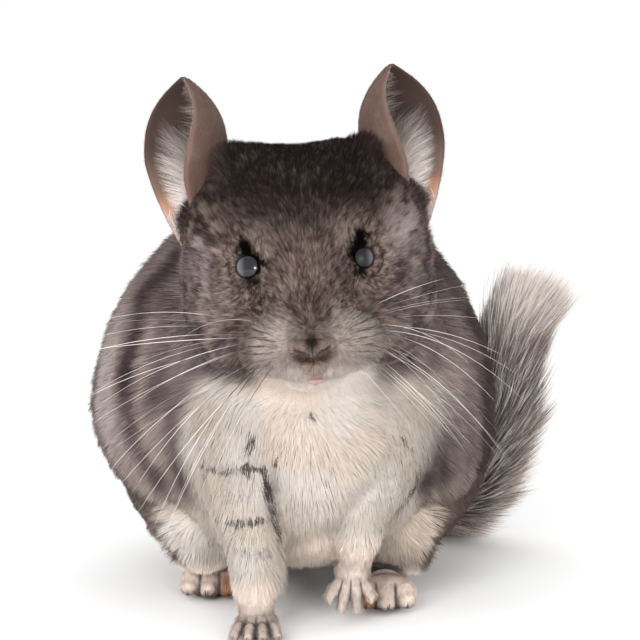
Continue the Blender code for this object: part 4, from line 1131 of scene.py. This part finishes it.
def line_distance(places, line):
    """Distance of flat places from the nearest piece of a broken line."""
    nearest = np.full(len(places), np.inf)
    for start, end in zip(np.array(line[:-1]), np.array(line[1:])):
        along = np.clip((places - start) @ (end - start) / np.sum((end - start) ** 2), 0.0, 1.0)
        away = places - start - along[:, None] * (end - start)
        nearest = np.minimum(nearest, np.linalg.norm(away, axis=1))
    return nearest


rng = np.random.default_rng(17)
in_body = (middles - body_origin) * 1000.0
strokes = []
for line, half_width, stroke, count, pale in PARTINGS:
    near = 1.0 - ease(line_distance(in_body[:, ::2], line), 0.2 * half_width, 1.2 * half_width)
    near *= (in_body[:, 1] < FRONT_LIMIT) * (1.0 - where["foot"]) * ease(forward, 0.05, 0.3)
    count = int(count * max(TUFT_SHARE, 0.5))
    given = roots_on(*skin_parts, count, near, rng)
    strokes.append((*given, np.full(count, pale), np.full(count, stroke / 1000.0)))
roots, normals, uv, pale, stroke = (np.concatenate(given) for given in zip(*strokes))
length, lift, _ = hair_form(roots)
count = len(roots)
way = unit(lie_of_coat(roots, normals) + 0.55 * (rng.random((count, 3)) - 0.5))
way = flat_on(way, normals)
size = stroke * rng.uniform(0.6, 1.3, count)
height = length * np.sin(lift) * rng.uniform(0.50, 0.95, count)
roots = roots + normals * height[:, None] - 0.5 * size[:, None] * way
points, triangles = tuft_blades(
    roots, normals, way, size, np.radians(rng.uniform(3, 12, count)), np.full(count, PARTING_WIDTH),
    0 * way, rng.uniform(-0.4, 0.4, count), 2)
paleness = np.clip(pale + rng.uniform(-0.12, 0.25, count), 0.0, 1.0) ** 2
# Dark strokes for the partings' underfur and the painted shadow under their locks.
tone = mixed(STREAK, CREAM, paleness) * rng.uniform(0.6, 1.2, (count, 1))
shading = np.repeat(normals, 5, axis=0)
place_hairs("parting_shadow_hairs", points, triangles, (tone, tone, tone * 1.5), uv, 2, "pale_fur", shading)


# Eyes. Large, wet and very dark, with a smoky blue-grey sheen; each is a ball deep in its lids. The paler
# grey towards each ball's outer side is a painted reflection.

# The second grey below is a painted reflection.
SMOKE_GREY, EYE_REFLECTION_GREY = (linear(c) for c in ("#0b0a0c", "#5c5a60"))
for name, side, dullness, shine in (("left", 1.0, 0.40, 0.30), ("right", -1.0, 0.20, 0.45)):
    gloss = coat_material("wet_eye_" + name, dullness, shine)
    shader = gloss.node_tree.nodes["Principled BSDF"]
    shader.inputs["Coat Weight"].default_value = 0.15 if side < 0 else 0.0
    shader.inputs["Coat Roughness"].default_value = 0.04
    centre = eye_centres[name]
    points, triangles = ball(centre, (EYE_RADIUS,) * 3, stations=36)
    outer = unit(points - centre) @ (side * head_turn[:, 0])
    # Painted reflection: each ball is paler grey towards its outer side.
    colours = mixed(SMOKE_GREY, EYE_REFLECTION_GREY, ease(outer, 0.30, 0.78))
    eye_ball = mesh_piece("eye_ball_" + name, points, triangles, colours)
    place_piece(eye_ball, gloss, "eye_gloss", "eye_" + name)


# Nose. A small pad of fine moist skin with two slanted nostrils and the groove to the lip below.

NOSE_PLACE = np.array((0.0, -0.0441, -0.0195))
# The fourth colour below is painted shade for the nose's hollows, underside and tip.
NOSE_TOP, NOSE_WING, NOSE_BASE, NOSE_SHADE_DARK, PHILTRUM = (
    linear(c) for c in ("#4f423b", "#73665f", "#3e302a", "#120c0b", "#8c7b73")
)


def nose_ball(centre, radii, turn=(0.0, 0.0, 0.0), stations=12):
    """An ellipsoid placed from the middle of the nose."""
    return head_ball(NOSE_PLACE + np.array(centre), radii, turn, stations)


def nose_tones(at):
    """The nose's colours without its painted shade, at places from its middle: paler wings, a darker top
    and base. Also how far each place lies below the slant of the nostrils, from 0 to 1."""
    below = 1.0 - ease(at[:, 2] + 0.0040 - 0.52 * np.abs(at[:, 0]), -0.0008, 0.0004)
    tones = mixed(NOSE_WING, NOSE_TOP, ease(at[:, 2], -0.0005, 0.0025))
    return mixed(tones, NOSE_BASE, below), below


NOSE_VOXEL, NOSE_SMOOTHING, NOSTRIL_DEPTH, NOSE_SPAN = 0.00028, 4, 0.0011, 0.022
TIP_SHADE = (0.0, 0.0, 0.0012)
pads = [
    nose_ball((0.0, 0.0044, -0.0006), (0.0052, 0.0052, 0.0032)),
    nose_ball((0.0040, 0.0038, -0.0016), (0.0034, 0.0040, 0.0034), (0, 0, 25)),
    nose_ball((-0.0040, 0.0038, -0.0016), (0.0034, 0.0040, 0.0034), (0, 0, -25)),
    nose_ball((0.0, 0.0064, -0.0060), (0.0034, 0.0034, 0.0042)),
]
points, triangles, normals = run_together(pads, NOSE_VOXEL, NOSE_SMOOTHING)
at = to_head(points) - NOSE_PLACE
side = np.abs(at[:, 0])
faces_front = 1.0 - ease(at[:, 1], 0.0026, 0.0050)
slit = np.abs(at[:, 2] + 0.0036 - 0.52 * side) - 0.00015
nostril = (1.0 - ease(slit, 0.0001, 0.0007)) * ease(side, 0.0003, 0.0012)
nostril *= (1.0 - ease(side, 0.0054, 0.0066)) * faces_front
groove = (1.0 - ease(side, 0.0001, 0.0005)) * (1.0 - ease(at[:, 2], 0.0018, 0.0034)) * faces_front
hollow = np.maximum(nostril, 0.6 * groove)
points = points - normals * (NOSTRIL_DEPTH * hollow)[:, None]
colours, below = nose_tones(at)
colours = mixed(colours, PHILTRUM, 1.0 - ease(at[:, 2], -0.0078, -0.0058))
# Painted shade: dark under the nostrils' slant, at the tip, in the nostrils and in the groove.
colours = mixed(colours, NOSE_SHADE_DARK, 0.62 * below * ease(side, 0.0022, 0.0052))
colours = mixed(colours, NOSE_SHADE_DARK, 0.90 * spot(at, TIP_SHADE, (0.0036, 0.0100, 0.0050)))
colours = mixed(colours, NOSE_SHADE_DARK, np.maximum(0.75 * nostril, 0.85 * groove))
moist = coat_material("moist_nose", 0.5, 0.15, bump=(0.0005, 0.00012))
place_piece(mesh_piece("nose_pad", points, triangles, colours), moist, "nose_skin", "nose")

# A very short fuzz over the pad, left out in the nostrils, and the pink edge of the lower lip.
NOSE_FUZZ, NOSE_FUZZ_WIDTH, NOSE_FUZZ_LIFT = 15000, 0.00013, 0.00002
LOWER_LIP, LOWER_LIP_RADII = (0.0003, -0.0334, -0.0323), (0.0032, 0.0018, 0.0012)
bare = 0.8 * below[triangles].mean(axis=1) * ease(at[:, 2], -0.0062, -0.0050)[triangles].mean(axis=1)
weight = (1.0 - ease(hollow, 0.05, 0.35))[triangles].mean(axis=1) * (1.0 - bare)
nose_uv = (np.stack([at[:, 0], at[:, 2]], axis=1) / NOSE_SPAN + 0.5)[triangles]
points = points + normals * NOSE_FUZZ_LIFT
count = int(NOSE_FUZZ * max(TUFT_SHARE, 0.5))
roots, normals, uv = roots_on(points, normals, triangles, nose_uv, count, weight, rng)
at = to_head(roots) - NOSE_PLACE
side = np.abs(at[:, 0])
way = (unit(at - (0.0, -0.0020, -0.0010)) + (0.0, 0.5, 0.0)) @ head_turn.T
way = unit(level_with(way, normals) + 0.35 * (rng.random((count, 3)) - 0.5))
length = 0.0008 + 0.0014 * ease(np.linalg.norm(at[:, ::2], axis=1), 0.0030, 0.0055)
points, triangles = tuft_blades(
    roots, normals, way, length * rng.uniform(0.6, 1.2, count),
    np.radians(rng.uniform(12, 34, count)), np.full(count, NOSE_FUZZ_WIDTH), 0 * way,
    rng.uniform(-0.5, 0.5, count), 1)
tone, _ = nose_tones(at)
tone = mixed(tone, PHILTRUM, 1.0 - ease(at[:, 2] - 0.3 * side, -0.0072, -0.0052))
tone = mixed(tone, MUZZLE_GREY, 0.8 * ease(side, 0.0042, 0.0064))
tone = mixed(tone, NOSE_SHADE_DARK, 0.9 * spot(at, TIP_SHADE, (0.0034, 0.0100, 0.0048)))
tone = tone * rng.uniform(0.5, 1.5, (count, 1))
place_hairs("nose_fuzz", points, triangles, (tone, tone, tone), uv, 1, "nose_skin")

points, triangles = head_ball(LOWER_LIP, LOWER_LIP_RADII, stations=16)
lip = mesh_piece("lower_lip", points, triangles, mixed(LIP_PINK, CREAM, 0.22) * 0.80)
place_piece(lip, moist, "nose_skin")


# Ears. Tall thin cups of nearly bare gristle and skin, open outwards and a little forwards. Each
# level is half an ellipse; the inner and outer walls meet in a thin rim.

# In the left ear's own values, in the head's axes: the ends of its middle line, the share of its
# height where it is widest, the ways along and out of its opening, and its sizes.
EAR_ROOT = np.array((0.0390, 0.0150, 0.0115))
EAR_TIP = np.array((0.0345, 0.0270, 0.0695))
EAR_WIDEST = 0.56
EAR_CHORD = np.array((0.518, 0.855, 0.0))
EAR_OPENING = np.array((0.855, -0.518, 0.0))
EAR_CENTRE_OUT = 0.0057
EAR_HALF_CHORD = 0.0168
EAR_DEPTH = 0.0216
EAR_THICKNESS = 0.0012
EAR_RIM_BOW, EAR_RIM_DIP = 0.0022, 0.0012
EAR_SET = {1.0: np.array((0.0006, 0.0, -0.0022)), -1.0: np.array((0.0029, 0.0, -0.0004))}


def ear_spread(along, roundness):
    """Share of the ear's greatest width at a height: above the widest level 1 minus the distance's
    power, so that it closes to a tip, and below it a slower fall to a narrow root."""
    above = 1.0 - np.clip((along - EAR_WIDEST) / (1.0 - EAR_WIDEST), 0, 1) ** roundness
    below = 1.0 - 0.74 * np.clip((EAR_WIDEST - along) / EAR_WIDEST, 0, None) ** 1.6
    return np.where(along > EAR_WIDEST, above, below)


def ear_sheet(side, around, along):
    """Points of the ear's middle sheet. around runs 0 to 1 from the front rim by the inner wall to
    the back rim, along 0 to 1 from root to tip."""
    chord, depth = ear_spread(along, 3.2)[..., None], ear_spread(along, 2.1)[..., None]
    angle = (np.pi * around)[..., None]
    up = along[..., None]
    place = EAR_ROOT * (1 - up) + EAR_TIP * up + EAR_SET[side] * np.clip(up * 2.0, 0.0, 1.0)
    place = place + EAR_CENTRE_OUT * depth * np.array((1.0, 0.0, 0.0))
    place = place - EAR_CHORD * (EAR_HALF_CHORD * chord * np.cos(angle))
    place = place - EAR_OPENING * (EAR_DEPTH * depth * np.sin(angle))
    rim = np.clip(1.0 - around / 0.35, 0.0, 1.0)[..., None] ** 2
    bow = EAR_RIM_BOW * np.exp(-((up - 0.42) / 0.16) ** 2)
    bow = bow - EAR_RIM_DIP * np.exp(-((up - 0.80) / 0.14) ** 2)
    place = place + bow * rim * np.array((1.0, 0.0, 0.0))
    place = place * np.array((side, 1.0, 1.0))
    return from_head(place)


def ear_frame(side, around, along):
    """Sheet points with the sheet's normal towards the hollow, and the ways across and up it."""
    step = 1e-3
    place = ear_sheet(side, around, along)
    across = unit(ear_sheet(side, around + step, along) - ear_sheet(side, around - step, along))
    up = unit(ear_sheet(side, around, along + step) - ear_sheet(side, around, along - step))
    return place, unit(np.cross(across, up)) * side, across, up


EAR_INNER, EAR_INNER_DARK, EAR_BACK, EAR_ROOT_PINK, EAR_TAN = (
    linear(c) for c in ("#6b5a52", "#41342f", "#5d4841", "#e6cdbf", "#a17556")
)
COLUMNS, ROWS = 40, 56
ear_skin = coat_material("ear_skin", 0.6, 0.08, bump=(0.0009, 0.00012))
shader = ear_skin.node_tree.nodes["Principled BSDF"]
shader.inputs["Subsurface Weight"].default_value = 0.15
shader.inputs["Subsurface Scale"].default_value = 0.002
for name, side in SIDES.items():
    along = -0.06 + 1.052 * (1.0 - (1.0 - np.linspace(0.0, 1.0, ROWS)) ** 1.4)
    around = np.concatenate([np.linspace(0.0, 1.0, COLUMNS), np.linspace(1.0, 0.0, COLUMNS)[1:-1]])
    inner = np.arange(len(around)) < COLUMNS
    up, turn = np.meshgrid(along, around, indexing="ij")
    place, normal, _, _ = ear_frame(side, turn, up)
    wall = 0.5 * EAR_THICKNESS * np.sqrt(np.clip(1.0 - (2 * turn - 1) ** 10, 0.0, 1.0))
    place = place + normal * (wall * np.where(inner, 1.0, -1.0))[..., None]
    size = len(around)
    points = np.concatenate([place.reshape(-1, 3), [place[0].mean(0), place[-1].mean(0)]])
    i, k = np.meshgrid(np.arange(ROWS - 1), np.arange(size), indexing="ij")
    a, b = i * size + k, i * size + (k + 1) % size
    walls = np.stack([a, b, b + size, a, b + size, a + size], axis=-1).reshape(-1, 3)
    k = np.arange(size)
    caps = [np.stack([np.full(size, ROWS * size), (k + 1) % size, k], axis=-1),
            np.stack([np.full(size, ROWS * size + 1), (ROWS - 1) * size + k,
                      (ROWS - 1) * size + (k + 1) % size], axis=-1)]
    triangles = np.concatenate([walls, *caps])
    u, v = turn.ravel(), up.ravel()
    inside = np.tile(inner, ROWS)
    shade = mixed(EAR_INNER, EAR_INNER_DARK, ease(v, 0.30, 0.62) * ease(u, 0.15, 0.55))
    tan = spot(np.stack([u, v, 0 * u], axis=1), (0.90, 0.21, 0.0), (0.24, 0.13, 1.0))
    shade = mixed(shade, EAR_TAN, 0.8 * tan)
    shade = mixed(shade, EAR_ROOT_PINK, (1.0 - ease(v, 0.10, 0.30)) * (1.0 - 0.6 * ease(u, 0.6, 0.9)))
    back = mixed(EAR_BACK, EAR_INNER, 0.6 * ease(noise(points[:-2], 0.006), 0.4, 0.8))
    colours = np.where(inside[:, None], shade, back)
    colours = np.concatenate([colours, colours[:1], colours[-1:]])
    ear = mesh_piece("ear_shell_" + name, *outwards(points, triangles), colours)
    place_piece(ear, ear_skin, "ear_skin", "ear_" + name)


# Ear hair. Fine pale hairs rooted by the front rim, which reach over the hollow towards the back rim:
# short and grey above, a long white fan below. A very short fuzz edges both rims and covers the back.

FAN_HAIRS, UPPER_HAIRS, BASE_HAIRS, FUZZ_HAIRS = 4200, 4600, 1500, 3600
EAR_HAIR_WIDTH, RIM_FUZZ_WIDTH, BACK_FUZZ_WIDTH = 0.00017, 0.00010, 0.00011
RIM_FUZZ, BACK_FUZZ, BACK_FUZZ_SHARE = 0.0010, 0.0014, 2.2
HAIR_WHITE, HAIR_GREY, FUZZ_BROWN = (linear(c) for c in ("#ece3de", "#96887f", "#75655d"))
rng = np.random.default_rng(23)


def ear_uv(around, along):
    """Places on the ear's own unwrap: round it by up it."""
    return np.stack([0.04 + 0.92 * around, 0.04 + 0.92 * np.clip(along, 0.0, 1.0)], axis=1)


def ear_hairs(side, around, along, tip_around, tip_along, width, rng):
    """Hairs whose tips lie over another place of the inner wall, so that they span the hollow."""
    root, normal, _, _ = ear_frame(side, around, along)
    tip, tip_normal, _, _ = ear_frame(side, tip_around, tip_along)
    root = root + normal * 0.0005
    tip = tip + tip_normal * rng.uniform(0.0007, 0.0028, (len(root), 1))
    way = tip - root
    length = np.linalg.norm(way, axis=1)
    way = way / length[:, None]
    lift, twist = rng.uniform(-0.02, 0.06, len(root)), rng.uniform(-0.6, 0.6, len(root))
    return tuft_blades(root, flat_on(normal, way), way, length, lift, width, 0 * way, twist, 2)


for name, side in SIDES.items():
    share = max(TUFT_SHARE, 0.5)
    fan, upper, base = (int(n * share) for n in (FAN_HAIRS, UPPER_HAIRS, BASE_HAIRS))
    v = np.concatenate([0.06 + 0.46 * rng.random(fan), 0.44 + 0.52 * rng.random(upper),
                        0.16 * rng.random(base)])
    u = np.concatenate([0.02 + 0.26 * rng.random(fan) ** 1.4, 0.01 + 0.16 * rng.random(upper),
                        rng.random(base)])
    clump = noise(np.stack([v * 0.9, u * 0.3, 0 * v], axis=1) + side, 0.012) - 0.5
    reach = np.concatenate([rng.uniform(0.35, 0.88, fan), rng.uniform(0.26, 0.62, upper),
                            rng.uniform(-0.1, 0.1, base)])
    rise = np.concatenate([0.55 * (v[:fan] - 0.20) + 0.02, rng.uniform(0.0, 0.07, upper),
                           rng.uniform(0.04, 0.12, base)])
    tip_v = v + rise * (reach / 0.5) ** 0.5 + 0.07 * clump + 0.02 * rng.standard_normal(len(v))
    tip_v = np.clip(tip_v, 0.0, 0.97)
    tip_u = np.clip(u + reach * (1.0 + 0.5 * clump), 0.02, 0.95)
    points, triangles = ear_hairs(side, u, v, tip_u, tip_v, np.full(len(v), EAR_HAIR_WIDTH), rng)
    low = 1.0 - ease(v, 0.36, 0.56)
    tone = mixed(HAIR_GREY, HAIR_WHITE, np.clip(low + 0.25 * rng.random(len(v)), 0, 1))
    tone = tone * rng.uniform(0.8, 1.05, (len(v), 1))
    tones = tone * 0.85, tone, tone
    place_hairs("ear_hair_" + name, points, triangles, tones, ear_uv(u, v), 2, "pale_fur")

    count = int(FUZZ_HAIRS * share)
    v = 0.02 + 0.96 * rng.random(count)
    rim = rng.random(count) < 0.5
    u = np.where(rim, 0.03 * rng.random(count), 1.0 - 0.03 * rng.random(count))
    place, normal, across, up = ear_frame(side, u, v)
    way = unit(across * np.where(rim, -1.0, 1.0)[:, None] + up * rng.uniform(0.2, 1.4, count)[:, None])
    on_rim = tuft_blades(
        place, normal, way, RIM_FUZZ * rng.uniform(0.5, 1.2, count),
        np.radians(rng.uniform(-20, 20, count)), np.full(count, RIM_FUZZ_WIDTH), 0 * place,
        rng.uniform(-0.8, 0.8, count), 1)
    tone = mixed(FUZZ_BROWN, HAIR_WHITE, 0.02 + 0.22 * rng.random(count))
    more = int(BACK_FUZZ_SHARE * count)
    over_v, over_u = 0.02 + 0.95 * rng.random(more), 0.03 + 0.72 * rng.random(more)
    place, normal, across, up = ear_frame(side, over_u, over_v)
    way = unit(up + across * rng.uniform(-0.5, 0.5, more)[:, None])
    on_back = tuft_blades(
        place - normal * (0.5 * EAR_THICKNESS), -normal, way, BACK_FUZZ * rng.uniform(0.6, 1.2, more),
        np.radians(rng.uniform(8, 22, more)), np.full(more, BACK_FUZZ_WIDTH), 0 * place,
        rng.uniform(-0.5, 0.5, more), 1)
    points, triangles = joined([(p.reshape(-1, 3), f) for p, f in (on_rim, on_back)])
    over = mixed(EAR_BACK, FUZZ_BROWN, rng.random(more)) * rng.uniform(0.75, 1.2, (more, 1))
    tone, u, v = np.concatenate([tone, over]), np.append(u, over_u), np.append(v, over_v)
    place_hairs("ear_fuzz_" + name, points, triangles, (tone, tone, tone), ear_uv(u, v), 1, "ear_skin")


# Tail hair. Long coarse hair in a brush that streams outwards and up from the core, dark by the body
# and at the roots, pale grey to white towards the tips.

TAIL_HAIRS, TAIL_HAIR, TAIL_HAIR_WIDTH, TAIL_CLUMP = 26000, 0.041, 0.00042, 0.006
TAIL_FLOOR_GAP = 0.0008
TAIL_PALE, TAIL_MID, TAIL_DARK = (linear(c) for c in ("#f4ece6", "#a8988f", "#372c2a"))
rng = np.random.default_rng(31)
share = max(TUFT_SHARE, 0.4)
count = int(TAIL_HAIRS * share)
along = 0.05 + 0.95 * rng.random(count) ** 0.85
turn = rng.uniform(-1.0, 1.0, count) ** 3 * np.pi * 0.45
turn = turn + rng.uniform(-1.0, 1.0, count) * np.pi * 0.55
step = 0.01
ahead = unit(tail_place(along + step) - tail_place(along - step))
away = mixed(np.array((0.55, 0.80, 0.05)), np.array((0.92, 0.30, 0.10)), ease(along, 0.35, 0.55))
away = flat_on(away, ahead)
third = np.cross(ahead, away)
outward = away * np.cos(turn)[:, None] + third * np.sin(turn)[:, None]
core = TAIL_CORE_RADIUS * (1.0 - TAIL_TAPER * along)
roots = tail_place(along) + outward * (0.8 * core)[:, None]
outer = np.cos(turn) * 0.5 + 0.5
low_part = ease(along, 0.10, 0.25) * (1.0 - ease(along, 0.45, 0.62))
end = ease(along, 0.9, 1.0)
outer = np.maximum(outer, 0.75 * ease(along, 0.80, 0.95))
length = TAIL_HAIR * (0.48 + 0.52 * outer) * (0.62 + 0.38 * np.clip(along / 0.5, 0, 1))
length = length * rng.uniform(0.70, 1.08, count) * (1.0 - 0.20 * low_part * outer) * (1.0 - 0.26 * end)
lift = (0.16 + 0.38 * outer) * (1.0 - 0.60 * end) + rng.uniform(-0.10, 0.10, count)
centre, draw = clumps(roots, TAIL_CLUMP)
way = unit(ahead + 0.30 * (draw[:, 3:6] - 0.5) + 0.12 * (rng.random((count, 3)) - 0.5))
way = flat_on(way, outward)
pull = 0.35 * (centre - roots) + np.array((0.0, 0.0, -0.0025)) * rng.random((count, 1))
width = np.full(count, TAIL_HAIR_WIDTH) / math.sqrt(share)
points, triangles = tuft_blades(
    roots, outward, way, length, np.maximum(lift, 0.05), width, pull, rng.uniform(-0.9, 0.9, count), 3)
points[..., 2] = np.maximum(points[..., 2], TAIL_FLOOR_GAP)
kind = rng.random(count)
inner = 1.0 - ease(outer, 0.15, 0.60)
end = ease(along, 0.70, 0.95)
low_end = 1.0 - ease(along, 0.40, 0.66)
dark = kind < 0.70 + 0.20 * inner - 0.55 * end - 0.34 * low_end
tip = np.where(dark[:, None], TAIL_MID, TAIL_PALE) * rng.uniform(0.80, 1.08, (count, 1))
middle = np.where(dark[:, None], mixed(TAIL_DARK, TAIL_MID, 0.25 + 0.5 * end),
                  mixed(TAIL_MID, TAIL_PALE, 0.10 + 0.75 * end + 0.35 * low_end))
middle = mixed(middle, TAIL_DARK, 0.35 * inner * (1.0 - end))
# The lower tail's hair is brightened, partly for its paler tips and partly as painted light against its
# shade.
middle, tip = (np.minimum(c * (1.0 + 0.3 * low_end)[:, None], TAIL_PALE) for c in (middle, tip))
root = mixed(middle, TAIL_DARK, 0.92 - 0.35 * end - 0.35 * low_end)
tail_uv = np.stack([0.5 + 0.96 * turn / (2.2 * np.pi), 0.02 + 0.96 * along], axis=1)
place_hairs("tail_hair", points, triangles, (root, middle, tip), tail_uv, 3, "tail_fur")


# Whiskers. Long stiff tapering hairs from the lips, dark at the root and pale to the tip.

rng = np.random.default_rng(41)
WHISKERS, STATIONS, WHISKER_SIDES = 24, 16, 5
LONGEST, THICKEST = {"left": 0.058, "right": 0.082}, {"left": 0.000074, "right": 0.000086}
WHISKER_DARK, WHISKER_PALE = (linear(c) for c in ("#2c2625", "#dcd3cc"))
whisker_horn = coat_material("whisker", 0.45, 0.3)
s = np.linspace(0.0, 1.0, STATIONS)
for name, side in SIDES.items():
    order = (np.arange(WHISKERS) + 0.5) / WHISKERS
    height = 0.0065 - 0.0135 * order + rng.uniform(-0.0012, 0.0012, WHISKERS)
    back = rng.uniform(-0.004, 0.006, WHISKERS)
    start = np.stack([side * (0.0125 + 0.35 * (back + 0.004) + rng.uniform(-0.001, 0.001, WHISKERS)),
                      -0.0385 + back, LIP_CENTRE[2] + 0.002 + height], axis=1)
    rise = np.radians(24.0 - 74.0 * order + rng.uniform(-5, 5, WHISKERS))
    length = LONGEST[name] * (0.62 + 0.38 * np.sin(np.pi * (0.15 + 0.75 * order)))
    length = length * rng.uniform(0.55, 1.0, WHISKERS)
    if name == "right":
        droop = 0.006 + 0.020 * rng.random(WHISKERS)
    else:
        droop = 0.004 + 0.026 * np.sin(np.pi * order) ** 2
    sweep = rng.uniform(0.05, 0.32, WHISKERS)
    reach = length[:, None] * s
    path = np.stack([
        start[:, :1] + side * reach * np.cos(rise)[:, None],
        start[:, 1:2] + reach * (sweep[:, None] * s - 0.04),
        start[:, 2:] + reach * np.sin(rise)[:, None] - droop[:, None] * s ** 2.2,
    ], axis=2)
    radius = THICKEST[name] * ((1.0 - 0.80 * s) * (0.35 + 0.65 * ease(s, 0.0, 0.14)))[None]
    radius = radius * rng.uniform(0.5, 1.5, (WHISKERS, 1)) ** 1.5
    points, triangles = tubes(from_head(path), radius, WHISKER_SIDES)
    share = np.concatenate([np.repeat(s, WHISKER_SIDES), [0.0, 1.0]])
    pale = rng.uniform(0.10, 0.42, (WHISKERS, 1))
    tint = ease(share[None], pale - 0.1, pale + 0.22).ravel()
    colours = mixed(WHISKER_DARK, WHISKER_PALE, tint)
    whiskers = mesh_piece("whiskers_" + name, points, triangles, colours)
    place_piece(whiskers, whisker_horn, "pale_fur")


# Claws. Small blunt horn nails, one at the end of each finger and toe.

HORN = linear("#332a27")
# Shares of a digit's radius: a claw's length and radius, and how far ahead and up it starts; and the
# share of its length that it droops.
CLAW_LENGTH, CLAW_RADIUS, CLAW_AHEAD, CLAW_UP, CLAW_DROOP = 0.62, 0.40, 0.02, 0.30, 0.30
claws = []
for middle, tip, radius in nails:
    ahead = unit(tip - middle)
    s = np.linspace(0.0, 1.0, 7)[:, None]
    size = radius * CLAW_LENGTH
    path = tip + ahead * (CLAW_AHEAD * radius) + ahead * size * s
    path = path + np.array((0, 0, -CLAW_DROOP * size)) * s ** 2
    path = path + np.array((0.0, 0.0, CLAW_UP * radius))
    path[:, 2] = np.maximum(path[:, 2], FLOOR_GAP)
    thick = radius * CLAW_RADIUS * (1.0 - 0.72 * s[:, 0])
    claws.append(tubes((path + body_origin)[None], thick[None], 10))
points, triangles = joined(claws)
horn = coat_material("claw_horn", 0.35, 0.4)
place_piece(mesh_piece("claws", points, triangles, HORN), horn, "foot_skin")


# Floor, light and camera. A plain white floor under soft studio light, and the photograph's view.

FLOOR_SIZE = 6.0
floor_points = np.array(((-1, -1, 0), (1, -1, 0), (1, 1, 0), (-1, 1, 0))) * FLOOR_SIZE
floor = mesh_piece("floor", floor_points, np.array(((0, 1, 2), (0, 2, 3))))
white = bpy.data.materials.new("white_floor")
white.use_nodes = True
shader = white.node_tree.nodes["Principled BSDF"]
shader.inputs["Base Color"].default_value = (0.98, 0.98, 0.98, 1.0)
shader.inputs["Roughness"].default_value = 0.9
floor.data.materials.append(white)

world = bpy.data.worlds.new("studio")
bpy.context.scene.world = world
world.use_nodes = True
background = world.node_tree.nodes["Background"]
background.inputs["Color"].default_value = (1.0, 1.0, 1.0, 1.0)
background.inputs["Strength"].default_value = 1.02


def soft_light(name, place, target, size, power):
    """A square soft light at a place, aimed at a target."""
    data = bpy.data.lights.new(name, "AREA")
    data.size = size
    data.energy = power
    light = bpy.data.objects.new(name, data)
    light.location = place
    light.rotation_euler = (Vector(target) - Vector(place)).to_track_quat("-Z", "Y").to_euler()
    bpy.context.scene.collection.objects.link(light)
    return light


lights = [
    soft_light("key", (-0.40, -1.20, 0.50), (0, 0, 0.08), 0.6, 13.0),
    soft_light("window", (0.20, -0.98, 0.24), (0, 0, 0.15), 0.16, 3.0),
]
lights[0].visible_glossy = False

# The lens's focal length and the photograph's width in pixels, and how far the camera looks down.
LENS_PIXELS, PHOTO_PIXELS, SENSOR, CAMERA_DIP = 2424.0, 640.0, 36.0, 6.23
camera_place = np.array((0.0068, -0.860, 0.195)) + body_origin
camera_data = bpy.data.cameras.new("camera")
camera_data.sensor_width = SENSOR
camera_data.lens = SENSOR * LENS_PIXELS / PHOTO_PIXELS
camera = bpy.data.objects.new("camera", camera_data)
camera.location = camera_place
camera.rotation_euler = (math.radians(90.0 - CAMERA_DIP), 0.0, 0.0)
bpy.context.scene.collection.objects.link(camera)
bpy.context.scene.camera = camera
bpy.context.scene.view_settings.view_transform = "Standard"
